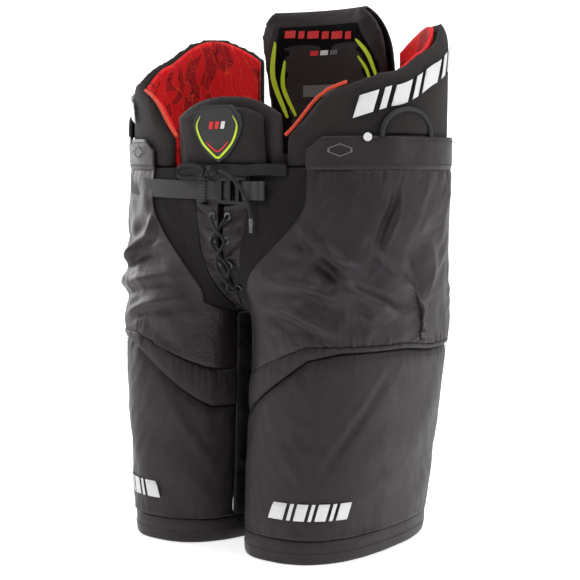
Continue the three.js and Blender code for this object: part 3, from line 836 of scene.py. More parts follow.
def tube(
    name: str, line: Sequence[Vector], radius: float, sides: int = 12, closed: bool = False
) -> Piece:
    """A round tube along a line of points in metres; radius is in mm."""
    curve = bpy.data.curves.new(name, "CURVE")
    curve.dimensions = "3D"
    curve.bevel_depth = radius * MM
    curve.bevel_resolution = max(1, sides // 4 - 1)
    curve.use_fill_caps = not closed
    spline = curve.splines.new("POLY")
    spline.points.add(len(line) - 1)
    for point, at in zip(spline.points, line):
        point.co = (*at, 1)
    spline.use_cyclic_u = closed
    holder = bpy.data.objects.new(name, curve)
    bpy.context.scene.collection.objects.link(holder)
    bpy.context.view_layer.update()
    data = bpy.data.meshes.new_from_object(holder.evaluated_get(bpy.context.evaluated_depsgraph_get()))
    mesh = bmesh.new()
    mesh.from_mesh(data)
    bpy.data.objects.remove(holder)
    bpy.data.curves.remove(curve)
    bpy.data.meshes.remove(data)
    bmesh.ops.remove_doubles(mesh, verts=mesh.verts, dist=1e-6)
    length = path_length(line)
    chart = mesh.loops.layers.uv.verify()
    for side in mesh.faces:
        for loop in side.loops:
            u, v = loop[chart].uv
            loop[chart].uv = (u * length, v * radius * math.tau * MM)
    bmesh.ops.recalc_face_normals(mesh, faces=mesh.faces)
    return Piece(name, mesh)


def turned(
    name: str, profile: Sequence[tuple[float, float]], steps: int, foot: Vector, axis: Vector
) -> Piece:
    """A round piece spun from its profile.

    Args:
        name: the piece's name.
        profile: radius and height pairs in mm, from the axis and back to it.
        steps: faces round it.
        foot: where the profile's height is 0, in metres.
        axis: the direction of its height.

    Returns:
        The piece.
    """
    mesh = bmesh.new()
    verts = [mesh.verts.new((r * MM, 0, h * MM)) for r, h in profile]
    edges = [mesh.edges.new(pair) for pair in zip(verts, verts[1:])]
    bmesh.ops.spin(
        mesh, geom=verts + edges, cent=(0, 0, 0), axis=(0, 0, 1), angle=math.tau, steps=steps,
        use_merge=True, use_duplicate=False,
    )
    bmesh.ops.remove_doubles(mesh, verts=mesh.verts, dist=1e-6)
    bmesh.ops.recalc_face_normals(mesh, faces=mesh.faces)
    turn = axis.to_track_quat("Z", "Y").to_matrix().to_4x4()
    bmesh.ops.transform(mesh, matrix=Matrix.Translation(foot) @ turn, verts=mesh.verts)
    return Piece(name, mesh)


def stitching(
    name: str, seams: Sequence[Sequence[Vector]], pitch: float = 3.4, thick: float = 0.42
) -> Piece:
    """Rows of sewn stitches along lines of points in metres; pitch and thick are in mm."""
    mesh = bmesh.new()
    for seam in seams:
        spare = 0.0
        for start, end in zip(seam, seam[1:]):
            run = end - start
            if run.length < 1e-7:
                continue
            while spare < run.length:
                centre = start + run.normalized() * spare
                turn = run.to_track_quat("X", "Z").to_matrix().to_4x4()
                size = Matrix.Diagonal((pitch * 0.36 * MM, thick * MM, thick * 0.8 * MM, 1))
                bmesh.ops.create_icosphere(
                    mesh, subdivisions=1, radius=1.0, matrix=Matrix.Translation(centre) @ turn @ size
                )
                spare += pitch * MM
            spare -= run.length
    return Piece(name, mesh)


def slice_at(mesh: bmesh.types.BMesh, point: tuple, across: tuple) -> None:
    """Cuts new edges into a mesh where a plane crosses it."""
    whole = mesh.verts[:] + mesh.edges[:] + mesh.faces[:]
    bmesh.ops.bisect_plane(mesh, geom=whole, plane_co=point, plane_no=across)


def plate(
    name: str, outline: Sequence[tuple[float, float]], place: Place, thick: float, cuts: int = 3
) -> Piece:
    """A thin printed or moulded plate cut to an outline and laid on a surface.

    Args:
        name: the piece's name.
        outline: corners in the surface's own two measures.
        place: gives the point for the two measures and a height in mm.
        thick: its thickness, mm.
        cuts: how finely it is divided to follow the surface.

    Returns:
        The piece.
    """
    mesh = bmesh.new()
    corners = [mesh.verts.new((x, y, 0)) for x, y in outline]
    mesh.faces.new(corners)
    low_x, high_x = min(x for x, _ in outline), max(x for x, _ in outline)
    low_y, high_y = min(y for _, y in outline), max(y for _, y in outline)
    for k in range(1, cuts * 2):
        slice_at(mesh, (mix(low_x, high_x, k / (cuts * 2)), 0, 0), (1, 0, 0))
    for k in range(1, cuts):
        slice_at(mesh, (0, mix(low_y, high_y, k / cuts), 0), (0, 1, 0))
    bmesh.ops.triangulate(mesh, faces=[f for f in mesh.faces if len(f.verts) > 4])
    made = bmesh.ops.extrude_face_region(mesh, geom=mesh.faces[:], use_keep_orig=True)
    for part in made["geom"]:
        if isinstance(part, bmesh.types.BMVert):
            part.co.z = thick
    for vert in mesh.verts:
        vert.co = place(*vert.co)
    bmesh.ops.recalc_face_normals(mesh, faces=mesh.faces)
    chart = mesh.loops.layers.uv.new("UVMap")
    for side in mesh.faces:
        for loop in side.loops:
            loop[chart].uv = (loop.vert.co.x, loop.vert.co.z)
    return Piece(name, mesh)


@dataclass
class Stuffing:
    """Fills a pad with air by cloth simulation, and keeps it near its first shape."""

    voxel: float = 0.005
    pressure: float = 4.0
    frames: int = 20
    most: float = 0.006

    def fill(self, pad: bpy.types.Object, held: Callable[[Vector], float]) -> None:
        """Swells a pad between its seams.

        Args:
            pad: the closed pad; its mesh is changed.
            held: gives how firmly the cloth is held at a point, from 0 to 1.
        """
        remesh = pad.modifiers.new("remesh", "REMESH")
        remesh.mode = "VOXEL"
        remesh.voxel_size = self.voxel
        self._settle(pad)
        group = pad.vertex_groups.new(name="held")
        for vert in pad.data.vertices:
            group.add([vert.index], clamp(held(vert.co)), "REPLACE")
        start = [vert.co.copy() for vert in pad.data.vertices]
        cloth = pad.modifiers.new("air", "CLOTH")
        settings = cloth.settings
        settings.quality = 6
        settings.mass = 0.25
        settings.use_pressure = True
        settings.uniform_pressure_force = self.pressure
        settings.vertex_group_mass = "held"
        settings.pin_stiffness = 1.0
        settings.effector_weights.gravity = 0.0
        cloth.point_cache.frame_start = 1
        cloth.point_cache.frame_end = self.frames
        for number in range(1, self.frames + 1):
            bpy.context.scene.frame_set(number)
        self._settle(pad)
        for vert, first in zip(pad.data.vertices, start):
            move = vert.co - first
            if move.length > self.most:
                vert.co = first + move.normalized() * self.most
            vert.co.z = max(vert.co.z, first.z)
        bpy.context.scene.frame_set(1)
        self._chart(pad)
        pad.data.shade_smooth()
        crown = pad.modifiers.new("soft", "SUBSURF")
        crown.levels = crown.render_levels = 1

    @staticmethod
    def _settle(pad: bpy.types.Object) -> None:
        """Makes the shown shape the pad's own mesh."""
        view = bpy.context.evaluated_depsgraph_get()
        shown = bpy.data.meshes.new_from_object(pad.evaluated_get(view))
        kept = [slot.material for slot in pad.material_slots]
        pad.modifiers.clear()
        old = pad.data
        pad.data = shown
        bpy.data.meshes.remove(old)
        pad.data.materials.clear()
        for material in kept:
            pad.data.materials.append(material)

    @staticmethod
    def _chart(pad: bpy.types.Object) -> None:
        """Lays a cloth chart round the pad, in metres."""
        mesh = bmesh.new()
        mesh.from_mesh(pad.data)
        chart = mesh.loops.layers.uv.verify()
        for side in mesh.faces:
            first = math.atan2(side.verts[0].co.y, side.verts[0].co.x)
            for loop in side.loops:
                at = loop.vert.co
                turn = math.atan2(at.y, at.x)
                turn += math.tau * round((first - turn) / math.tau)
                loop[chart].uv = (turn * 0.15, at.z)
        mesh.to_mesh(pad.data)
        mesh.free()


def sewn_low(rise: float) -> Callable[[Vector], float]:
    """Holds a pad's cloth where it is sewn: up to this far above the waist, mm."""
    top = (FORM.waist_z + rise) * MM
    return lambda at: 1.0 if at.z < top else 0.0


def tapered(
    points: Sequence[tuple[float, float]], steps: int, wide: Callable[[float], float]
) -> list[tuple[float, float]]:
    """The outline of a flat stripe through points.

    Args:
        points: the stripe's middle line.
        steps: points added between two of them.
        wide: gives the stripe's width for 0..1 along it.

    Returns:
        The outline's corners, up one side and down the other.
    """
    line = smooth_path([Vector((x, y, 0)) for x, y in points], steps)
    last = len(line) - 1
    left, right = [], []
    for k, at in enumerate(line):
        ahead = line[min(k + 1, last)] - line[max(k - 1, 0)]
        off = Vector((-ahead.y, ahead.x, 0)).normalized() * wide(k / last) / 2
        left.append((at.x - off.x, at.y - off.y))
        right.append((at.x + off.x, at.y + off.y))
    return left + right[::-1]


def bar_row(start: float, pitch: float, step: float, wide: float, narrow: float) -> list[tuple]:
    """The start and width of seven bars, wide and narrow by turns, a pitch between wide ones."""
    return [(start + pitch * (k // 2) + step * (k % 2), narrow if k % 2 else wide) for k in range(7)]


def leaning_bar(
    x: float, low: float, wide: float, high: float, lean: float
) -> list[tuple[float, float]]:
    """The outline of a plain bar that leans towards +x, from its lower left corner."""
    return [(x, low), (x + wide, low), (x + wide + lean, high), (x + lean, high)]


def as_sheet(made: bpy.types.Object, size: tuple[float, float]) -> None:
    """Works out a piece's area on one side, kept between a share of its cut size and the whole of it; the
    result is not used.

    Args:
        made: the finished piece.
        size: the width and length that it was cut to, mm.
    """
    width, length = size[0] * MM, size[1] * MM
    one_side = sum(face.area for face in made.data.polygons) / 2
    area = clamp(one_side, LEAST_CUT * width * length, width * length)


def edge_gap(u: float, v: float, wide: float, tall: float) -> float:
    """How far a point of a panel lies from its nearest edge, mm."""
    return min(u * wide, (1 - u) * wide, v * tall, (1 - v) * tall)


def pucker(along: float, away: float, seed: float, reach: float = 13.0, pitch: float = 8.5) -> float:
    """The small gathers that run out from a sewn edge."""
    wave = noise.noise(Vector((along / pitch, away / 40.0, seed)))
    fine = noise.noise(Vector((along / (pitch * 0.45), away / 22.0, seed + 9)))
    return (wave * 1.3 + fine * 0.6) * math.exp(-away / reach)


# ---- Studio ----


@dataclass
class Studio:
    """A pale floor, soft lights and the camera."""

    distance: float = 1.6
    azimuth: float = 36.0
    eye: float = 0.416
    lens: float = 86.4
    down: float = 4.97
    across: float = 0.29

    def camera(self) -> None:
        """Sets up the camera."""
        lens = bpy.data.cameras.new("camera")
        lens.lens, lens.sensor_width = self.lens, 36.0
        eye = bpy.data.objects.new("camera", lens)
        turn = math.radians(self.azimuth)
        eye.location = (self.distance * math.sin(turn), -self.distance * math.cos(turn), self.eye)
        eye.rotation_euler = (math.radians(90 - self.down), 0, turn - math.radians(self.across))
        bpy.context.scene.collection.objects.link(eye)
        bpy.context.scene.camera = eye

    def floor(self) -> None:
        """Lays the pale floor, curved up into a backdrop behind the camera's view."""
        mesh = bmesh.new()
        bmesh.ops.create_grid(mesh, x_segments=2, y_segments=40, size=1.0)
        turn = Matrix.Rotation(math.radians(self.azimuth), 4, "Z")
        for vert in mesh.verts:
            run = (vert.co.y + 1) * 3.2 - 2.4
            rise = max(run - 2.2, 0.0)
            bend = min(rise / 0.8, math.pi / 2)
            y = min(run, 2.2) + 0.8 * math.sin(bend)
            z = 0.8 * (1 - math.cos(bend)) + max(rise - 0.8 * math.pi / 2, 0.0)
            vert.co = turn @ Vector((vert.co.x * 4.5, y, z - 0.0005))
        bmesh.ops.recalc_face_normals(mesh, faces=mesh.faces)
        data = bpy.data.meshes.new("floor")
        mesh.to_mesh(data)
        mesh.free()
        data.shade_smooth()
        bench = Bench("floor_paint")
        cloud = bench.noise(bench.solid(), 1.5)
        data.materials.append(bench.finish(
            Base_Color=bench.blend((0.8, 0.8, 0.8), (0.86, 0.86, 0.86), cloud), Roughness=0.8,
            Emission_Color=(1.0, 1.0, 1.0), Emission_Strength=0.62, Specular_IOR_Level=0.1,
        ))
        made = bpy.data.objects.new("floor", data)
        bpy.context.scene.collection.objects.link(made)

    def lights(self) -> None:
        """Hangs the lights."""
        world = bpy.data.worlds.new("pale_room")
        world.use_nodes = True
        sky = world.node_tree.nodes["Background"]
        sky.inputs["Color"].default_value = (1, 1, 1, 1)
        sky.inputs["Strength"].default_value = 0.24
        bpy.context.scene.world = world
        bpy.context.scene.view_settings.view_transform = "Standard"
        for name, place, size, power in (
            ("left_sweep", (-2.1, 0.1, 1.0), 1.2, 26.0),
            ("key", (-0.5, -1.8, 1.9), 0.7, 19.0),
            ("right_sweep", (2.0, 0.5, 1.3), 0.8, 24.0),
            ("top", (0.3, 0.2, 2.2), 1.0, 17.0),
        ):
            lamp = bpy.data.lights.new(name, "AREA")
            lamp.size, lamp.energy = size, power
            made = bpy.data.objects.new(name, lamp)
            made.location = place
            made.rotation_euler = (Vector((0, 0, 0.3)) - Vector(place)).to_track_quat("-Z", "Y").to_euler()
            bpy.context.scene.collection.objects.link(made)


# ---- Cords ----


@dataclass
class Cords:
    """The drawcord's hanging end with its tip, and the fly's lace."""

    tail_radius: float = 1.9
    lace_radius: float = 1.7

    def build(self) -> None:
        """Makes both cords."""
        self._tail()
        self._lace()

    def _tail(self) -> None:
        """Makes the drawcord's end and its tip."""
        points = []
        for k in range(25):
            part = k / 24
            across = 3.8 + 42.2 * math.sin(part * math.pi / 2)
            away = 8 + 9 * math.sin(math.pi * mix(0.1, 1, part))
            points.append(FORM.front(across, FORM.waist_z - 2 - 50 * part**1.8, away))
        cord = tube("drawcord_tail", points, self.tail_radius).done(
            Finish.LACE, "waist", "lace", "lace_tail"
        )
        foot = FORM.front(46, FORM.waist_z - 52.6, 8)
        profile = [(0, 0.4), (1.9, 0.2), (2.3, -0.8), (2.35, -6), (2.25, -12), (2.0, -14.4),
                   (1.3, -15.2), (0, -15.3)]
        tip = turned("drawcord_tip", profile, 28, foot, Vector((0, 0, 1))).done(
            Finish.METAL, "waist", "metal", "aglet"
        )
        path_length(points)

    def _lace(self) -> None:
        """Laces the fly."""
        def at(side: int, row: float, out: float) -> Vector:
            """A point over the fly at a row."""
            away, z = FORM.eyelet(row)
            across = side * away
            return FORM.front(across, z - 1.5, 0) + FORM.facing(across or 0.1, z) * out * MM

        knots = []
        top = FORM.eyelet_rows - 1
        for row in range(top, -1, -1):
            knots.append(at(1 if row % 2 else -1, row, 4.7))
            if row:
                knots.append(at(0, row - 0.5, 4.4))
        for row in range(top + 1):
            knots.append(at(-1 if row % 2 else 1, row, 4.9))
            if row < top:
                knots.append(at(0, row + 0.5, 8.8))
        line = smooth_path(knots, 3)
        cord = tube("fly_lace_cord", line, self.lace_radius).done(
            Finish.LACE, "waist", "lace", "fly_lace"
        )
        path_length(line)


# ---- Legs ----


@dataclass
class Half:
    """Something that each half of the pants has."""

    side: Side

    def _name(self, word: str) -> str:
        """A piece's name with its side."""
        return f"{self.side.word}_{word}"


@dataclass
class Leg(Half):
    """One leg: its padded cover, yoke, guard, inner and rear panels, hem and stitching."""

    cover_thick: float = 5.0
    guard_thick: float = 12.0
    shell_thick: float = 3.0
    front_span: tuple[float, float] = (-149.0, 48.0)
    guard_span: tuple[float, float] = (-132.0, 38.0)

    @property
    def body(self) -> str:
        """The body it moves with."""
        return f"{self.side.word}_leg"

    def build(self) -> None:
        """Makes every piece of the leg."""
        self._cover()
        self._yoke()
        self._guard()
        self._rear()
        self._inner()
        self._hem()
        self._stitches()
        self._marks()

    def _panel(
        self, word: str, spans: tuple[float, float], low: Callable, high: Callable, relief: Callable,
        size: tuple[float, float], grid: tuple[int, int], thick: float,
    ) -> Piece:
        """A panel of the leg.

        Args:
            word: the piece's name without its side.
            spans: the angles that it runs between.
            low: gives its lower edge's height at an angle.
            high: gives its upper edge's height at an angle.
            relief: gives how far its face stands out, by place on it, angle and height.
            size: its cloth's length and height, mm.
            grid: faces along it and up it.
            thick: its thickness, mm.

        Returns:
            The piece.
        """

        def place(u: float, v: float, w: float) -> Vector:
            """A point of the panel."""
            angle = mix(spans[0], spans[1], u)
            z = mix(low(angle), high(angle), v)
            out = relief(u, v, angle, z)
            return FORM.leg(self.side, angle, z, out - (thick + out * 0.4) * w)

        return slab(self._name(word), grid[0], grid[1], place, size)

    def _cover(self) -> None:
        """The padded cover from the hem to the yoke."""
        seed = 3.0 * self.side.value
        dent = Fold((-18.0, 205.0), (-62.0, 84.0), 7.0, 2.4)
        sweep = Fold((-95.0, 176.0), (-140.0, 60.0), 9.0, 1.6)

        def relief(u: float, v: float, angle: float, z: float) -> float:
            """Soft padding that draws in at the seams."""
            away = edge_gap(u, v + 0.02, 460, 180)
            run = angle * 2.4
            seam = -2.4 * math.exp(-away / 6.5) * ramp(v, 0.0, 0.06) - 0.5 * math.exp(-v * 180 / 1.2)
            quilt = 1.7 * rumple(run, z, 62, 46, 20, seed)
            fine = 0.9 * rumple(run, z, 30, 13, -40, seed + 4)
            gather = pucker(run, (1 - v) * 180, seed) * 0.8 + pucker(run, v * 180, seed + 2) * 0.6
            return seam + 0.8 + quilt + fine + gather - dent.lift(angle, z) + sweep.lift(angle, z) * 0.6

        piece = self._panel(
            "thigh_cover_cloth", self.front_span, lambda a: FORM.hem_band + 0.6,
            lambda a: FORM.leg_seam("yoke", a) - 0.3, relief, (500, 200), (150, 64), self.cover_thick,
        )
        made = piece.done(Finish.COVER, self.body, "nylon", self._name("thigh_cover"))

    def _yoke(self) -> None:
        """The gathered wedge between the two thigh seams."""
        seed = 8.0 + 2 * self.side.value

        def relief(u: float, v: float, angle: float, z: float) -> float:
            """Gathers under the upper seam."""
            seam = -2.2 * (math.exp(-v * 26 / 4.0) + math.exp(-(1 - v) * 26 / 4.0))
            return seam + 1.0 + pucker(angle * 2.4, (1 - v) * 26, seed, 14, 7) * 1.5

        piece = self._panel(
            "yoke_cloth", self.front_span, lambda a: FORM.leg_seam("yoke", a) + 0.5,
            lambda a: FORM.leg_seam("thigh", a) - 0.3, relief, (500, 44), (170, 14), self.cover_thick,
        )
        made = piece.done(Finish.COVER, self.body, "nylon", self._name("leg_yoke"))
        as_sheet(made, (520, 46))

    def _guard(self) -> None:
        """The foam guard behind the cover."""
        outer = -self.cover_thick - 2.6

        def relief(u: float, v: float, angle: float, z: float) -> float:
            """Rounded edges and shallow channels."""
            away = edge_gap(u, v, 380, 150)
            channel = 2.0 * math.exp(-((((angle + 47) % 34) - 17) * 2.4 / 4) ** 2)
            return -3.5 * math.exp(-away / 5) - channel

        def place(u: float, v: float, w: float) -> Vector:
            """A point of the guard."""
            angle = mix(*self.guard_span, u)
            z = mix(FORM.hem_band + 12, FORM.leg_seam("yoke", angle) - 8, v)
            dent = relief(u, v, angle, z)
            return FORM.leg(self.side, angle, z, outer + dent * (1 - 2 * w) - (self.guard_thick - 1) * w)

        piece = slab(self._name("thigh_guard_foam"), 110, 36, place, (400, 160))
        piece.done(Finish.FOAM, self.body, "foam", self._name("thigh_guard"))

    def _rear(self) -> None:
        """The rear panel."""
        seed = 15.0 * self.side.value

        def relief(u: float, v: float, angle: float, z: float) -> float:
            """Loose soft creases."""
            run = angle * 2.2
            away = edge_gap(u, v, 150, 190)
            folds = 3.2 * rumple(run, z, 80, 30, 62 * self.side.value, seed)
            folds *= 1 - math.exp(-away / 14)
            return folds - 1.2 * math.exp(-away / 5) + pucker(run, (1 - v) * 190, seed) * 0.7

        piece = self._panel(
            "rear_leg_cloth", FORM.rear_span, lambda a: FORM.hem_band + 0.6,
            lambda a: FORM.leg_seam("thigh", a) - 0.3, relief, (190, 200), (70, 60), self.shell_thick,
        )
        made = piece.done(Finish.SHELL, self.body, "nylon", self._name("rear_leg_panel"))
        as_sheet(made, (200, 205))

    def _inner(self) -> None:
        """The glossy gathered inner panel."""
        seed = 21.0 + self.side.value

        def relief(u: float, v: float, angle: float, z: float) -> float:
            """Level gathers from an elastic edge."""
            run = angle * 2.6
            away = edge_gap(u, v, 200, 190)
            waves = 2.4 * rumple(run, z, 70, 13, 6, seed)
            waves += 0.9 * rumple(run, z, 26, 6, -10, seed + 3)
            return waves * (1 - math.exp(-away / 12)) - 1.0 * math.exp(-away / 4)

        piece = self._panel(
            "inner_leg_cloth", FORM.inner_span, lambda a: FORM.hem_band + 0.6,
            lambda a: FORM.inner_top(a) - 0.2, relief, (210, 205), (80, 84), self.shell_thick,
        )
        made = piece.done(Finish.GLOSS, self.body, "gloss_nylon", self._name("inner_leg_panel"))
        as_sheet(made, (215, 215))

    def _hem(self) -> None:
        """The folded hem band."""
        seed = 30.0 + self.side.value

        def place(turn: float, reach: float, rise: float) -> Vector:
            """A point of the band's section."""
            z = 13.0 + 13.0 * bow(rise, 0.5)
            ease = 0.7 * rumple(turn * 2.2, z, 16, 30, 70, seed)
            body = -2.7 + 3.1 * bow(reach, 0.42) + ease
            line = 0.5 * math.exp(-(((z - 12) / 1.6) ** 2)) if reach > 0 else 0.0
            return FORM.leg(self.side, turn, max(z, 0.0), body - line)

        piece = hoop(self._name("hem_band_cloth"), 200, 22, place, (640, 60))
        made = piece.done(Finish.COVER, self.body, "nylon", self._name("hem_binding"))
        as_sheet(made, (660, 32))

    def _stitches(self) -> None:
        """Sewn rows along the seams and the hem."""
        def seam(height: Callable, out: float, span: tuple[float, float]) -> list[Vector]:
            """A line of points round the leg."""
            steps = 140
            return [
                FORM.leg(self.side, angle, height(angle), out)
                for angle in (mix(span[0], span[1], k / steps) for k in range(steps + 1))
            ]

        front = (self.front_span[0] + 2, self.front_span[1] - 2)
        rows = [
            seam(lambda a: FORM.leg_seam("yoke", a) - 3.2, -0.4, front),
            seam(lambda a: FORM.leg_seam("yoke", a) - 6.6, 0.4, front),
            seam(lambda a: FORM.leg_seam("thigh", a) - 3.0, -0.3, front),
            seam(lambda a: 12.0, 0.75, (-180, 180)),
            seam(lambda a: FORM.hem_band + 3.0, 0.1, front),
        ]
        stitching(self._name("leg_stitches"), rows).done(Finish.THREAD, self.body, "nylon")

    def _marks(self) -> None:
        """Plain printed bars above the hem."""
        def place(x: float, y: float, lift: float) -> Vector:
            """A point on the cover."""
            return FORM.leg(self.side, x, y, 1.7 + lift)

        for number, (start, wide) in enumerate(bar_row(-92.0, 15.5, 10.5, 8.0, 2.6)):
            outline = leaning_bar(start, 48, wide, 66, 2.2)
            plate(self._name(f"leg_mark_{number + 1}"), outline, place, 0.5).done(
                Finish.WHITE_PRINT, self.body, "rubber"
            )


# ---- Hips ----


@dataclass
class Shell(Half):
    """The cloth from the waist to the leg seams on one side."""

    thick: float = 3.0
    hinge: tuple[float, float] = (0.092, 0.005)
    bend: tuple[float, float] = (0.375, 0.245)
    gusset_bend: tuple[float, float] = (0.257, 0.2)

    def build(self) -> None:
        """Makes the shell, seat and crotch panels."""
        self._front()
        self._seat()
        self._crotch()

    @staticmethod
    def _edge(z: float) -> float:
        """How far across the cloth's front edge lies, where it laps the mesh."""
        return min(FORM.shell_edge(z), 30 + 75 * ramp(z, 275, FORM.waist_z - 30))

    @staticmethod
    def _low(angle_at: Callable) -> float:
        """Where a column meets the leg's seam."""
        return FORM.meet(FORM.thigh_seam, lambda z: FORM.hips(Side.LEFT, angle_at(z), z, 0)) - 0.4

    @staticmethod
    def _row(v: float, low: float, first: float, second: float) -> tuple[float, float, float]:
        """A row's height, and how far it lies above the panel's low edge and below its top.

        Args:
            v: how far up the panel the row is, from 0 to 1.
            low: the low edge's height.
            first: the height at an eighth of the rows, level with the crotch.
            second: the height at a quarter of the rows.

        Returns:
            The three measures, mm.
        """
        top = FORM.waist_z + 1.2
        if v <= 0.125:
            z = mix(low, first, v / 0.125)
        elif v <= 0.25:
            z = mix(first, second, (v - 0.125) / 0.125)
        else:
            z = mix(second, top, (v - 0.25) / 0.75)
        return z, z - low, top - z

    def _bend(self, made: bpy.types.Object, span: tuple[float, float]) -> None:
        """Bakes a cloth's transform into its mesh; the span, from one height in metres to another, is not
        used.
        """
        self._name("leg")
        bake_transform(made)

    def _front(self) -> None:
        """The loose outer shell."""
        seed = 40.0 + 6 * self.side.value
        lows: dict[float, float] = {}
        folds = (
            Fold((-60.0, 300.0), (-8.0, 262.0), 8.0, 5.0),
            Fold((-66.0, 350.0), (-40.0, 300.0), 7.0, 4.2),
            Fold((-36.0, 335.0), (4.0, 245.0), 9.0, 4.6),
            Fold((-74.0, 392.0), (-58.0, 330.0), 6.0, 3.2),
            Fold((-18.0, 400.0), (-24.0, 330.0), 6.5, 3.4),
            Fold((-4.0, 352.0), (6.0, 268.0), 8.0, 3.0),
            Fold((-84.0, 274.0), (-44.0, 246.0), 5.5, 3.6),
            Fold((-82.0, 300.0), (-34.0, 276.0), 6.5, 3.4),
            Fold((-76.0, 332.0), (-26.0, 306.0), 6.0, 2.8),
        )

        def place(u: float, v: float, w: float) -> Vector:
            """A point of the shell."""
            def angle_at(z: float) -> float:
                """The column's angle at a height."""
                return mix(FORM.angle_across(self._edge(z), z), 22, u)

            key = round(u, 4)
            if key not in lows:
                lows[key] = self._low(angle_at)
            z, above, below = self._row(v, lows[key], FORM.crotch_z + 2, FORM.crotch_z + 19)
            angle = angle_at(z)
            run = angle * 2.7
            calm = (1 - math.exp(-above / 16)) * (1 - math.exp(-below / 14))
            side = 1 - math.exp(-min(u, 1 - u) * 260 / 10)
            lap = 2.2 * math.exp(-u * 300 / 22) * ramp(z, 270, 290)
            drape = 5.0 * rumple(run, z, 120, 30, 55, seed) + 1.3 * rumple(run, z, 60, 13, 62, seed + 3)
            drape += 2.2 * rumple(run, z, 90, 22, -40, seed + 7)
            drape += 1.7 * sum(f.lift(angle, z) for f in folds)
            drape += 0.45 * rumple(run, z, 30, 8, 35, seed + 11)
            out = drape * calm * side + lap
            out += 1.6 * pucker(run, above, seed, 15, 7) + 1.3 * pucker(run, below, seed + 5, 16, 8)
            full = 3.4 * math.exp(-below / 46) * ramp(u, 0.08, 0.3)
            out += full - 0.9 * math.exp(-above / 3.5) - (0.7 + full) * 0.9 * math.exp(-below / 2.4)
            return FORM.hips(self.side, angle, z, out - self.thick * w)

        piece = slab(self._name("shell_cloth"), 150, 110, place, (330, 185))
        made = piece.done(Finish.SHELL, None, "nylon", self._name("upper_shell"))
        as_sheet(made, (360, 215))
        self._bend(made, self.bend)

    def _seat(self) -> None:
        """The seat's cloth."""
        seed = 60.0 + 6 * self.side.value
        lows: dict[float, float] = {}

        def place(u: float, v: float, w: float) -> Vector:
            """A point of the seat."""
            def angle_at(z: float) -> float:
                """The column's angle at a height."""
                reach = mix(29.2, 0.6, share(z, FORM.crotch_z + 1, FORM.crotch_z + 10))
                return mix(22.3, -FORM.angle_across(reach, z), u)

            key = round(u, 4)
            if key not in lows:
                lows[key] = self._low(angle_at)
            z, above, below = self._row(v, lows[key], FORM.crotch_z + 1, FORM.crotch_z + 10)
            angle = angle_at(z)
            run = angle * 2.6
            calm = (1 - math.exp(-above / 18)) * (1 - math.exp(-below / 16))
            side = 1 - math.exp(-min(u, 1 - u) * 220 / 12)
            drape = 5.2 * rumple(run, z, 100, 26, -56, seed) + 1.8 * rumple(run, z, 50, 13, 40, seed + 2)
            drape += 3.0 * rumple(run, z, 120, 20, 74, seed + 5)
            out = drape * calm * side + 1.4 * pucker(run, below, seed, 16, 8)
            out += 1.2 * pucker(run, above, seed + 4, 14, 7) - 0.8 * math.exp(-above / 3.5)
            return FORM.hips(self.side, angle, z, min(out, 5.5) - self.thick * w)

        piece = slab(self._name("seat_cloth"), 110, 90, place, (290, 180))
        made = piece.done(Finish.SHELL, None, "nylon", self._name("seat_panel"))
        as_sheet(made, (300, 205))
        self._bend(made, self.bend)

    def _crotch(self) -> None:
        """The gusset at the top of the inner leg."""
        def place(u: float, v: float, w: float) -> Vector:
            """A point of the gusset."""
            angle = mix(*FORM.inner_span, u)
            z = mix(FORM.inner_top(angle) + 0.4, FORM.crotch_z, v)
            wave = 1.0 * rumple(angle * 2.6, z, 30, 9, 5, 71.0 + self.side.value) * math.sin(math.pi * v)
            return FORM.leg(self.side, angle, z, wave - 0.6 - (self.thick - 0.6) * w)

        piece = slab(self._name("gusset_cloth"), 60, 12, place, (210, 26))
        made = piece.done(Finish.GLOSS, None, "gloss_nylon", self._name("crotch_panel"))
        as_sheet(made, (225, 42))
        self._bend(made, self.gusset_bend)


# ---- Front ----


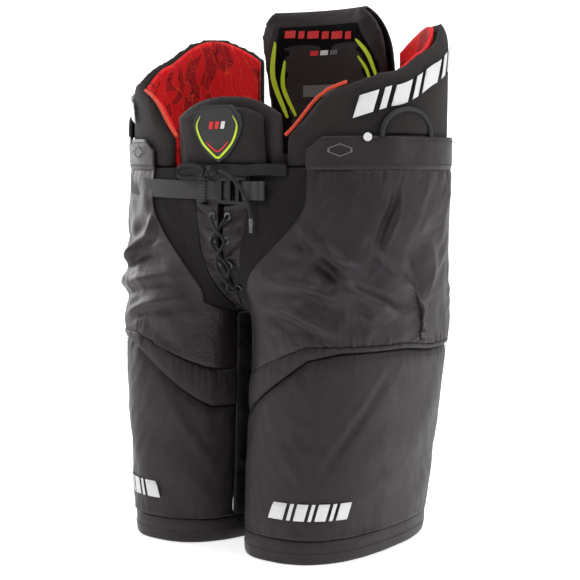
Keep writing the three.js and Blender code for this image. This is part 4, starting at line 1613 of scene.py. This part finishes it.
@dataclass
class Fly:
    """The laced fly, the mesh beside it, and the eyelets."""

    thick: float = 3.0
    top: float = 385.0
    low: float = 259.6

    def build(self) -> None:
        """Makes both sides of the fly and what spans it."""
        for side in Side:
            self._panel(side)
            self._mesh(side)
            self._eyelets(side)
        self._facing()
        self._tape()
        self._stitches()

    def _panel(self, side: Side) -> None:
        """One gathered half of the fly."""
        def place(u: float, v: float, w: float) -> Vector:
            """A point of the fly panel."""
            z = mix(self.low, self.top, v)
            across = mix(mix(0.6, 5, v), FORM.fly_edge(z), u)
            calm = math.sin(math.pi * clamp(u)) ** 0.6
            wave = 4.2 * rumple(across, z, 34, 9.0, 26, 80.0 + side.value) * calm
            wave += 1.5 * rumple(across, z, 18, 5.0, 10, 83.0 + side.value) * calm
            roll = 0.9 * math.exp(-u * 22 / 3)
            return FORM.front(side.value * across, z, min(wave, 2.0) + roll - 0.4 - self.thick * w)

        piece = slab(f"{side.word}_fly_cloth", 36, 84, place, (34, 120))
        made = piece.done(Finish.GLOSS, "waist", "gloss_nylon", f"{side.word}_fly_panel")
        as_sheet(made, (36, 128))

    def _mesh(self, side: Side) -> None:
        """The stretch mesh at one side of the fly."""
        def place(u: float, v: float, w: float) -> Vector:
            """A point of the mesh."""
            z = mix(FORM.crotch_z + 3.2, FORM.waist_z + 1.4, v)
            start = FORM.fly_edge(min(z, self.top)) + 0.9
            across = mix(start, FORM.shell_edge(z) - 0.8, u)
            calm = math.sin(math.pi * clamp(u)) ** 0.7 * (1 - math.exp(-v * 20))
            wave = 2.2 * rumple(across, z, 60, 15, 38, 90.0 + side.value)
            wave += 0.9 * rumple(across, z, 26, 8, 60, 95.0)
            return FORM.front(side.value * across, z, min(wave * calm, 1.6) - 0.4 - self.thick * w)

        piece = slab(f"{side.word}_mesh_cloth", 56, 84, place, (64, 142))
        made = piece.done(Finish.MESH, "waist", "mesh", f"{side.word}_mesh_panel")
        as_sheet(made, (80, 150))

    def _eyelets(self, side: Side) -> None:
        """A row of metal eyelets."""
        outline = []
        for k in range(13):
            turn = math.tau * k / 12
            outline.append((3.3 + 1.15 * math.cos(turn), 1.1 + 1.1 * math.sin(turn)))
        for row in range(FORM.eyelet_rows):
            away, z = FORM.eyelet(row)
            across = side.value * away
            ahead = FORM.facing(across, z)
            foot = FORM.front(across, z, 0) + ahead * 0.7 * MM
            turned(f"{side.word}_eyelet_ring_{row + 1}", outline, 30, foot, ahead).done(
                Finish.METAL, "waist", "metal", f"{side.word}_eyelet_{row + 1}"
            )

    def _facing(self) -> None:
        """The cloth above the fly."""
        def place(u: float, v: float, w: float) -> Vector:
            """A point of the facing."""
            z = mix(self.top + 0.4, FORM.waist_z, v)
            wave = 0.9 * rumple(u * 74, z, 9, 30, 80, 101.0) * math.sin(math.pi * v)
            return FORM.front(mix(-36.6, 36.6, u), z, min(wave, 0.5) - 0.3 - self.thick * w)

        piece = slab("waist_facing_cloth", 70, 24, place, (73, 31))
        as_sheet(piece.done(Finish.GLOSS, "waist", "nylon", "waist_facing"), (76, 33))

    def _tape(self) -> None:
        """The narrow tape under the crotch."""
        def place(u: float, v: float, w: float) -> Vector:
            """A point of the tape."""
            y = mix(66, -66, u) + FORM.forward
            return Vector((mix(-6, 6, v), y, FORM.crotch_z + 2.8 - 2.4 * w)) * MM

        piece = slab("crotch_tape_weave", 60, 6, place, (132, 12))
        as_sheet(piece.done(Finish.TAPE, "waist", "nylon", "crotch_tape"), (14, 134))

    def _stitches(self) -> None:
        """Sewn rows beside the fly."""
        rows = []
        for side in Side:
            for inset in (2.0, -3.2):
                rows.append([
                    FORM.front(side.value * (FORM.fly_edge(z) + inset), z, 1.0)
                    for z in (mix(self.low + 12, self.top - 2, k / 50) for k in range(51))
                ])
        stitching("fly_stitches", rows, 3.0, 0.36).done(Finish.THREAD, "waist", "nylon")


# ---- Pads round the waist ----


@dataclass
class HipPad(Half):
    """One hip pad with its lining, rim piping, raised arch, waist flap and button."""

    angles: tuple[float, float] = (-72.0, 64.0)
    thick: float = 15.0
    flap_thick: float = 3.4
    button_spot: tuple[float, float] = (-38.0, 33.0)

    def build(self) -> None:
        """Makes every piece of the pad."""
        self._pad()
        self._lining()
        self._arch()
        self._piping()
        self._flap()
        self._button()
        self._marks()

    def _pad(self) -> None:
        """The knit pad, filled by simulation."""
        def place(u: float, v: float, w: float) -> Vector:
            """A point of the pad before it is filled."""
            angle = mix(self.angles[0] + 0.3, self.angles[1] - 0.3, u)
            z = mix(FORM.waist_z + 0.6, FORM.hip_top(angle) + 0.6, v)
            away = edge_gap(u, v, 330, 130)
            slim = 4.2 * math.exp(-away / 5.0)
            return FORM.hips(self.side, angle, z, -1.8 - slim - (11.2 - 2 * slim) * w)

        piece = slab(self._name("hip_pad_knit"), 110, 44, place, (350, 120))
        made = piece.done(Finish.KNIT, "waist", "knit", self._name("hip_pad"))
        Stuffing(most=0.0026).fill(made, sewn_low(4))

    def _lining(self) -> None:
        """The printed lining inside the pad."""
        def place(u: float, v: float, w: float) -> Vector:
            """A point of the lining."""
            angle = mix(self.angles[0] + 4, self.angles[1] - 2, u)
            z = mix(FORM.waist_z - 28, FORM.hip_top(angle) - 5, v)
            wave = 1.0 * rumple(angle * 2.6, z, 60, 24, 30, 110.0 + self.side.value)
            out = -self.thick - 2.4 + min(wave, 0.2) * (1 - w) - 4 * w + 0.7 * wave * w
            return FORM.hips(self.side, angle, z, out)

        piece = slab(self._name("hip_lining"), 90, 36, place, (340, 130))
        made = piece.done(Finish.LINING, "waist", "red_lining", self._name("hip_liner"))
        as_sheet(made, (345, 165))

    def _arch(self) -> None:
        """The raised half-round patch."""
        def place(u: float, v: float, w: float) -> Vector:
            """A point of the patch."""
            angle = mix(-30, -4, u)
            crown = math.sqrt(max(1 - (2 * u - 1) ** 2, 0.04))
            z = FORM.waist_z + 37 + 26 * crown * v
            dome = 1 - math.exp(-edge_gap(u, v, 70, 26 * crown) / 3)
            return FORM.hips(self.side, angle, z, 0.4 + 1.4 * dome * (1 - w) + 0.5 * (1 - w))

        piece = slab(self._name("hip_arch"), 60, 24, place, (70, 26))
        piece.done(Finish.KNIT, "waist", "rubber", self._name("hip_cap"))
        points = []
        for k in range(49):
            turn = math.pi * k / 48
            angle = -17 - 14 * math.cos(turn)
            points.append(FORM.hips(self.side, angle, FORM.waist_z + 33 + 29 * math.sin(turn) ** 0.8, 2.2))
        tube(self._name("arch_cord"), points, 2.7, 20).done(Finish.ARCH, "waist", "rubber")

    def _piping(self) -> None:
        """The bright piping on the rim."""
        points = []
        for k in range(61):
            angle = mix(self.angles[0] + 1, -46, k / 60)
            z = FORM.hip_top(angle) + 1.2
            points.append(FORM.hips(self.side, angle - 1.2, z, -self.thick / 2 - 1.5))
        tube(self._name("rim_piping"), points, 2.0, 16).done(
            Finish.PIPING, "waist", "piping", self._name("hip_piping")
        )

    def _flap(self) -> None:
        """The loose flap below the pad."""
        seed = 120.0 + self.side.value

        def place(u: float, v: float, w: float) -> Vector:
            """A point of the flap."""
            angle = mix(-63, 56, u)
            corner = 1 - 0.35 * (1 - ramp(u, 0, 0.06)) * v
            z = FORM.waist_z - 1.2 + 35.2 * v * corner
            wave = 1.3 * rumple(angle * 2.6, z, 34, 30, 80, seed) * v
            lift = 0.2 + 0.5 * v + max(wave, -0.4) - 1.6 * math.exp(-v * 33 / 3.0) * (1 - w)
            round_off = 0.8 * math.exp(-(1 - v) * 33 / 1.6)
            out = lift + (self.flap_thick - round_off) * (1 - w) + 0.4 * round_off * w
            return FORM.hips(self.side, angle, z, out)

        piece = slab(self._name("waist_flap_cloth"), 130, 20, place, (320, 34))
        made = piece.done(Finish.SHELL, "waist", "nylon", self._name("waist_flap"))
        as_sheet(made, (325, 36))
        rows = [
            [FORM.hips(self.side, angle, FORM.waist_z + rise, self.flap_thick + 1.0)
             for angle in (mix(-60, 54, k / 110) for k in range(111))]
            for rise in (4.5, 30.0)
        ]
        stitching(self._name("flap_stitches"), rows).done(Finish.THREAD, "waist", "nylon")

    def _button(self) -> None:
        """The white brace button."""
        angle, rise = self.button_spot
        foot = FORM.hips(self.side, angle, FORM.waist_z + rise, 2.4)
        away = (FORM.hips(self.side, angle, FORM.waist_z + rise, 40) - foot).normalized()
        profile = [(0, 0), (2.2, 0), (2.2, 1.4), (3.9, 1.6), (4.5, 2.1), (4.5, 2.8), (4.0, 3.3),
                   (3.0, 3.4), (2.5, 3.0), (0, 2.9)]
        turned(self._name("brace_button"), profile, 40, foot, away).done(
            Finish.BUTTON, "waist", "white_plastic", self._name("suspender_button")
        )

    def _marks(self) -> None:
        """Plain printed bars below the rim, and a small plain hexagon on the flap."""
        def on_pad(x: float, y: float, lift: float) -> Vector:
            """A point just off the pad, by angle and distance below the rim."""
            return FORM.hips(self.side, x, FORM.hip_top(x) - y, 1.5 + lift)

        for number, (start, wide) in enumerate(bar_row(-44.5, 18.0, 12.0, 9.0, 3.4)):
            outline = leaning_bar(start, 38, wide, 17, 3.0)
            plate(self._name(f"pad_bar_{number + 1}"), outline, on_pad, 0.5).done(
                Finish.WHITE_PRINT, "waist", "rubber"
            )

        def on_flap(x: float, y: float, lift: float) -> Vector:
            """A point on the flap."""
            return FORM.hips(self.side, x, y, 4.6 + lift)

        middle, inner = Vector((-49.5, FORM.waist_z + 19.5)), 0.84
        rim = [middle + Vector(step) for step in ((-5, -2), (0, -7), (5, -2), (5, 2), (0, 7), (-5, 2))]
        for number, (start, end) in enumerate(zip(rim, rim[1:] + rim[:1])):
            outline = [start, end, middle.lerp(end, inner), middle.lerp(start, inner)]
            plate(self._name(f"flap_mark_{number + 1}"), outline, on_flap, 0.4, 1).done(
                Finish.GREY_PRINT, "waist", "rubber"
            )


@dataclass
class BellyPad:
    """The pad over the fly with the layer behind it and the shield badge."""

    half_width: float = 60.0
    badge_size: tuple[float, float] = (67.0, 61.0)

    def _top(self, across: float) -> float:
        """The pad's top edge."""
        return FORM.waist_z + 70 - 14 * (abs(across) / self.half_width) ** 2.4

    def build(self) -> None:
        """Makes the pad, its back layer and the badge."""
        self._front()
        self._back()
        self._badge()

    def _front(self) -> None:
        """The front layer, filled by simulation."""
        def place(u: float, v: float, w: float) -> Vector:
            """A point of the pad before it is filled."""
            across = mix(-self.half_width + 1, self.half_width - 1, u)
            z = mix(FORM.waist_z + 0.8, self._top(across) - 1, v)
            slim = 3.2 * math.exp(-edge_gap(u, v, 118, 66) / 5)
            return FORM.front(across, z, 2.0 + 4 * v - slim - (7.6 - 2 * slim) * w)

        piece = slab("belly_pad_knit", 60, 36, place, (120, 68))
        made = piece.done(Finish.KNIT, "waist", "knit", "belly_pad")
        Stuffing(voxel=0.004, most=0.0024).fill(made, sewn_low(4))

    def _back(self) -> None:
        """The stiff layer behind."""
        def place(u: float, v: float, w: float) -> Vector:
            """A point of the back layer."""
            across = mix(-self.half_width - 11, self.half_width + 11, u)
            z = mix(FORM.waist_z - 12, self._top(across) + 8, v)
            slim = 1.6 * math.exp(-edge_gap(u, v, 110, 90) / 4)
            return FORM.front(across, z, 2.4 + 4 * v - 12 - slim - (6 - 2 * slim) * w)

        made = slab("belly_back_foam", 60, 36, place, (110, 90)).done(
            Finish.SPINE_RIM, "waist", "foam", "belly_back_pad"
        )

    def _badge(self) -> None:
        """The moulded shield with plain bright chevrons."""
        half, tall = self.badge_size[0] / 2, self.badge_size[1] / 2
        base = FORM.front(0, FORM.waist_z + 35, 0).y / MM
        middle = FORM.waist_z + 7.6 + 30

        def place(x: float, y: float, lift: float) -> Vector:
            """A point of the badge's face."""
            return Vector((x, base - 5.9 - lift - 0.06 * y, middle + y)) * MM

        def shield(scale: float) -> list[tuple[float, float]]:
            """The outline at a scale."""
            side = [(0.0, -tall), (half * 0.36, -tall * 0.78), (half * 0.68, -tall * 0.42),
                    (half * 0.9, -tall * 0.02), (half, tall * 0.3), (half * 0.92, tall * 0.6),
                    (half * 0.62, tall)]
            both = side + [(-x, y) for x, y in reversed(side[1:])]
            return [(x * scale, y * scale) for x, y in both]

        def printed(x: float, y: float, lift: float) -> Vector:
            """A point of what is printed on the badge."""
            return place(x, y, 3.3 + lift)

        for number, (scale, low, high) in enumerate(((1.0, 0.0, 2.6), (0.9, 2.4, 3.4))):
            nodes = ("shield_badge",) if number == 0 else ()

            def layer(x: float, y: float, w: float, foot: float = low, top: float = high) -> Vector:
                """A point of one moulded layer."""
                return place(x, y, foot + w * (top - foot))

            plate(f"badge_layer_{number + 1}", shield(scale), layer, 1.0, 5).done(
                Finish.RUBBER, "waist", "rubber", *nodes, smooth=False
            )

        rim = [(half * 0.66, tall * 0.62), (half * 0.82, tall * 0.26), (half * 0.62, -tall * 0.28),
               (half * 0.24, -tall * 0.68), (0.0, -tall * 0.84)]
        whole = [(-x, y) for x, y in rim] + rim[-2::-1]
        small = [(-half * 0.46, -tall * 0.26), (0.0, -tall * 0.62), (half * 0.46, -tall * 0.26)]
        lines = ((whole, 2.5, Finish.LIME), (small, 1.7, Finish.RED_PRINT))
        for number, (points, wide, finish) in enumerate(lines):
            outline = tapered(points, 8, lambda part: wide * min(1, 5 * min(part, 1 - part) + 0.15))
            plate(f"badge_line_{number + 1}", outline, printed, 0.5, 6).done(
                finish, "waist", "rubber", smooth=False
            )
        marks = ((-11, Finish.RED_PRINT), (-3, Finish.RED_PRINT), (5, Finish.WHITE_PRINT))
        for number, (x, finish) in enumerate(marks):
            outline = leaning_bar(x, tall * 0.3 - 4, 5, tall * 0.3 + 4, 2)
            plate(f"badge_bar_{number + 1}", outline, printed, 0.5, 1).done(
                finish, "waist", "rubber", smooth=False
            )


@dataclass
class SpinePad:
    """The tall pad behind the waist, its cover, prints, and the tail pad inside."""

    height: float = 186.0
    half_width: float = 91.0
    thick: float = 17.0
    cover: float = 4.0

    def _reach(self, v: float) -> float:
        """Half the pad's width at a height."""
        bulge = mix(0.84, 1, math.sin(min(v / 0.66, 1) * math.pi / 2))
        crown = math.sqrt(max(1 - share(v, 0.72, 1.04) ** 2.2, 0))
        return self.half_width * bulge * mix(0.42, 1, crown)

    def _at(self, u: float, v: float, out: float) -> Vector:
        """A point on the pad."""
        side = 2 * u - 1
        y = 116 - 30 * v**2.2 - 14 * side**2 + out + FORM.forward
        return Vector((-side * self._reach(v), y, FORM.waist_z + 0.8 + self.height * v)) * MM

    def _inside(self, x: float, z: float, lift: float) -> Vector:
        """A point just in front of the pad's inner face, by place across and height."""
        v = clamp((z - FORM.waist_z - 0.8) / self.height)
        side = clamp(-x / self._reach(v), -1, 1)
        return self._at((side + 1) / 2, v, -self.cover - 1.4 - self.thick - 0.4 - lift)

    def build(self) -> None:
        """Makes the pad and what belongs to it."""
        self._pad()
        self._cover()
        self._tail()
        self._prints()

    def _pad(self) -> None:
        """The soft pad, filled by simulation."""
        def place(u: float, v: float, w: float) -> Vector:
            """A point of the pad before it is filled."""
            slim = 4.6 * math.exp(-edge_gap(u, v, 180, 185) / 7)
            inset = 0.006
            at = mix(inset, 1 - inset, v)
            return self._at(mix(inset, 1 - inset, u), at, -self.cover - 3.4 - slim - (13.4 - 2 * slim) * w)

        piece = slab("spine_pad_foam", 56, 56, place, (180, 186))
        made = piece.done(Finish.SPINE_RIM, "spine", "foam", "spine_pad")
        Stuffing(most=0.0028).fill(made, sewn_low(6))

    def _cover(self) -> None:
        """The cloth cover behind the pad."""
        def place(u: float, v: float, w: float) -> Vector:
            """A point of the cover."""
            wave = 1.2 * rumple(u * 180, v * 186, 60, 26, 40, 131.0)
            slim = 1.2 * math.exp(-edge_gap(u, v, 180, 185) / 4)
            return self._at(u, v, (wave - slim) * (1 - w) - (self.cover - 0.5 + slim * 0.2) * w)

        piece = slab("spine_cover_cloth", 70, 70, place, (180, 186))
        made = piece.done(Finish.SHELL, "spine", "nylon", "spine_cover")
        as_sheet(made, (184, 190))

    def _tail(self) -> None:
        """The foam pad inside the seat."""
        def place(u: float, v: float, w: float) -> Vector:
            """A point of the tail pad."""
            across = mix(62, -62, u) * mix(0.6, 1, v)
            z = mix(FORM.waist_z - 106, FORM.waist_z - 2, v)
            slim = 3.0 * math.exp(-edge_gap(u, v, 110, 104) / 6)
            face = FORM.front(across, z, -7.2 - slim - (11 - 2 * slim) * w)
            return Vector((face.x, 2 * FORM.forward * MM - face.y, face.z))

        piece = slab("tail_pad_foam", 50, 44, place, (124, 104))
        made = piece.done(Finish.FOAM, "waist", "foam", "tail_pad")

    def _prints(self) -> None:
        """The dark face, the bright tapered stripes and the small plain bars."""
        face = []
        for k in range(33):
            v = mix(0.1, 0.9, k / 32)
            most = 78 * math.sqrt(max(1 - ramp(v, 0.6, 0.92) * 0.5, 0))
            face.append((min(self._reach(v) - 13, most), FORM.waist_z + 0.8 + self.height * v))
        outline = face + [(-x, z) for x, z in reversed(face)]
        plate("spine_face", outline, lambda x, z, w: self._inside(x, z, w - 0.4), 1.0, 12).done(
            Finish.SPINE_FACE, "spine", "knit"
        )

        def printed(name: str, outline: Sequence[tuple[float, float]], finish: Finish, cuts: int) -> None:
            """Prints a shape on the face."""
            plate(name, outline, lambda x, z, w: self._inside(x, z, 0.9 + w), 0.6, cuts).done(
                finish, "spine", "rubber", smooth=False
            )

        stripes = (
            (((-63, 568), (-72, 526), (-57, 478)), 6.4), (((-54, 546), (-60, 515), (-46, 480)), 5.4),
            (((50, 566), (66, 548), (77, 520)), 6.0), (((50, 547), (62, 530), (67, 508)), 4.6),
        )
        for number, (points, wide) in enumerate(stripes):
            outline = tapered(points, 6, lambda part: wide * math.sin(math.pi * mix(0.06, 0.9, part)) ** 0.6)
            printed(f"spine_stripe_{number + 1}", outline, Finish.LIME, 6)
        band = ((-50, 14), (-32, 8), (-20, 16), (0, 10), (14, 16), (34, 9))
        for number, (x, wide) in enumerate(band):
            z = 573 - 0.06 * x
            outline = leaning_bar(x, z - 4.2, wide, z + 4.2, 2.5)
            printed(f"spine_band_{number + 1}", outline, Finish.RED_PRINT, 3)
        bars = (
            (-14, 553, 11, 5.5, Finish.RED_PRINT), (0, 553, 11, 5.5, Finish.WHITE_PRINT),
            (14, 553, 11, 5.5, Finish.GREY_PRINT), (-12, 509, 46, 14, Finish.GREY_PRINT),
        )
        for number, (x, z, wide, high, finish) in enumerate(bars):
            outline = leaning_bar(x - wide / 2, z - high / 2, wide, z + high / 2, 2)
            printed(f"spine_bar_{number + 1}", outline, finish, 2)


# ---- Belt ----


@dataclass
class Belt:
    """The buckle, webbing, keeper, waist tape, knot and loop."""

    z: float = 393.0
    width: float = 20.0
    thick: float = 1.3
    buckle_x: float = 36.0

    def build(self) -> None:
        """Makes every piece of the belt."""
        self.face = FORM.front(self.buckle_x / 2, self.z, 4.6).y / MM
        self._buckle()
        self._anchor()
        self._tail()
        self._keeper()
        self._tape()
        self._knot()

    def _buckle(self) -> None:
        """The moulded buckle: a D-shaped rim and its bars."""
        mesh = bmesh.new()
        high, left = 14.5, -42.0
        round_end = ((10, 1.0), (5.2, 0.88), (2.4, 0.66), (0.6, 0.34), (0, 0.0))
        upper = [(left + x, high * part) for x, part in round_end]
        outline = [(1.5, -high), (1.5, high)] + upper + [(x, -z) for x, z in upper[-2::-1]]
        slots = ((-8.5, -1.5, 11.4), (-20.0, -13.0, 10.8), (-32.0, -25.0, 10.2))
        walls = sorted({left, 1.5, *(x for slot in slots for x in slot[:2])})
        verts = [mesh.verts.new((x, 0, z)) for x, z in outline]
        mesh.faces.new(verts)
        for x in walls[1:-1]:
            slice_at(mesh, (x, 0, 0), (1, 0, 0))
        for _, _, tall in slots:
            for z in (-tall, tall):
                slice_at(mesh, (0, 0, z), (0, 0, 1))
        gone = []
        for part in mesh.faces:
            at = part.calc_center_median()
            if any(a < at.x < b and abs(at.z) < tall for a, b, tall in slots):
                gone.append(part)
        bmesh.ops.delete(mesh, geom=gone, context="FACES")
        made = bmesh.ops.extrude_face_region(mesh, geom=mesh.faces[:], use_keep_orig=True)
        for part in made["geom"]:
            if isinstance(part, bmesh.types.BMVert):
                part.co.y = -3.0
        bmesh.ops.recalc_face_normals(mesh, faces=mesh.faces)
        bmesh.ops.dissolve_limit(mesh, angle_limit=0.01, verts=mesh.verts, edges=mesh.edges)
        sharp = [edge for edge in mesh.edges if edge.calc_face_angle(0) > 0.6]
        bmesh.ops.bevel(mesh, geom=sharp, offset=0.55, segments=3, profile=0.5, affect="EDGES", material=-1)
        for vert in mesh.verts:
            vert.co = (vert.co + Vector((self.buckle_x, 1.5 + self.face, self.z))) * MM
        bmesh.ops.recalc_face_normals(mesh, faces=mesh.faces)
        Piece("buckle_frame", mesh).done(Finish.PLASTIC, "buckle", "plastic", "buckle", smooth=False)

    def _anchor(self) -> None:
        """The belt's doubled end round the buckle's bar."""
        line = [(62.0, -3.2)] + [(self.buckle_x, -3.2)]
        for k in range(9):
            turn = math.pi * (1.5 - k / 8)
            line.append((self.buckle_x + 3.15 * math.cos(turn), 3.15 * math.sin(turn)))
        line += [(self.buckle_x, 3.2), (58.6, 3.2)]
        path = smooth_path([Vector((x, y, 0)) for x, y in line], 4)

        def place(u: float, v: float, w: float) -> Vector:
            """A point of the doubled end."""
            spot = u * (len(path) - 1)
            k = min(int(spot), len(path) - 2)
            at = path[k].lerp(path[k + 1], spot - k)
            ahead = (path[k + 1] - path[k]).normalized()
            away = Vector((ahead.y, -ahead.x, 0)) * (0.6 - 1.2 * w)
            return Vector((at.x + away.x, self.face + at.y + away.y, self.z + self.width * (v - 0.5))) * MM

        piece = slab("belt_end_webbing", 110, 16, place, (62, 20))
        as_sheet(piece.done(Finish.WEBBING, "waist", "webbing", "belt_anchor"), (62, 21))

    def _tail(self) -> None:
        """The belt's long end."""
        end = -180 - FORM.angle_across(14, self.z)

        def place(u: float, v: float, w: float) -> Vector:
            """A point of the long end."""
            angle = mix(-12, end, u)
            z = self.z + 10 * (1 - u) ** 1.6 + self.width * (v - 0.5)
            return FORM.hips(Side.RIGHT, angle, z, 0.8 + self.thick * (1 - w))

        piece = slab("belt_tail_webbing", 150, 14, place, (205, 20))
        as_sheet(piece.done(Finish.WEBBING, "belt_tail", "webbing", "belt_tail"), (210, 21))

    def _keeper(self) -> None:
        """The ribbed keeper loop."""
        def place(u: float, v: float, w: float) -> Vector:
            """A point of the keeper."""
            rib = 0.45 * math.sin(v * math.tau * 8)
            z = self.z + 28 * (v - 0.5) + 1.4
            return FORM.front(mix(-30, -20, u), z, 2.5 + (1.9 + rib) * (1 - w))

        piece = slab("keeper_webbing", 14, 90, place, (10, 28))
        as_sheet(piece.done(Finish.WEBBING, "waist", "webbing", "belt_keeper"), (11, 30))

    def _tape(self) -> None:
        """The flat tape along the waist."""
        def place(u: float, v: float, w: float) -> Vector:
            """A point of the tape."""
            across = mix(-56, 82, u)
            z = FORM.waist_z - 1 + 12 * (v - 0.5) + 0.5 * math.sin(u * 17)
            roll = 0.35 * math.sin(u * 31 + v * 2)
            return FORM.front(across, z, mix(4.9, 1.4, ramp(across, 62, 80)) + roll + 1.4 * (1 - w))

        piece = slab("waist_tape_webbing", 150, 12, place, (140, 12))
        as_sheet(piece.done(Finish.TAPE, "waist", "webbing", "waist_tape"), (142, 13))

    def _knot(self) -> None:
        """The knot of flat tape and its twisted loop."""
        centre = FORM.front(-6, FORM.waist_z - 2, 10.9)
        loops = []
        for k in range(48):
            turn = math.tau * k / 48
            x = math.cos(turn) * (5.4 + 1.9 * math.cos(3 * turn))
            z = math.sin(turn) * (4.4 + 1.4 * math.cos(2 * turn))
            loops.append(centre + Vector((x, 1.9 * math.sin(3 * turn), z)) * MM)
        tube("knot_tape", loops, 2.3, 16, True).done(Finish.TAPE, "waist", "webbing", "bow_knot")
        mesh = bmesh.new()
        bmesh.ops.create_uvsphere(mesh, u_segments=32, v_segments=20, radius=1.0)
        for vert in mesh.verts:
            wave = 1 + 0.12 * math.sin(vert.co.z * 9 + vert.co.x * 4)
            size = Vector((6.2 * wave, 3.2, 5.2 * wave))
            vert.co = centre + vert.co * size * MM
        Piece("knot_core", mesh).done(Finish.TAPE, "waist", "webbing")

        def place(turn: float, reach: float, rise: float) -> Vector:
            """A point of the loop's flat tape."""
            rad = math.radians(turn)
            across = -38 + 19 * math.cos(rad)
            z = FORM.waist_z - 3 + 7 * math.sin(rad)
            lean = 0.9 * math.sin(rad)
            flat = Vector((0, 0, 1)) * (rise * 3.6 * math.cos(lean))
            ahead = FORM.facing(across, FORM.waist_z - 3)
            away = ahead * (reach * 0.9 + rise * 2.4 * math.sin(lean))
            return FORM.front(across, z, 9.2) + (flat + away) * MM

        piece = hoop("bow_loop_tape", 96, 14, place, (86, 18))
        piece.done(Finish.TAPE, "waist", "webbing", "bow_loop")


def main() -> None:
    """Builds the studio and every piece in order."""
    logging.basicConfig(level=logging.INFO, format="%(message)s")
    studio = Studio()
    studio.camera()
    Cords().build()
    for side in Side:
        Leg(side).build()
        Shell(side).build()
        HipPad(side).build()
    Fly().build()
    BellyPad().build()
    SpinePad().build()
    Belt().build()
    studio.floor()
    studio.lights()


if __name__ == "__main__":
    main()
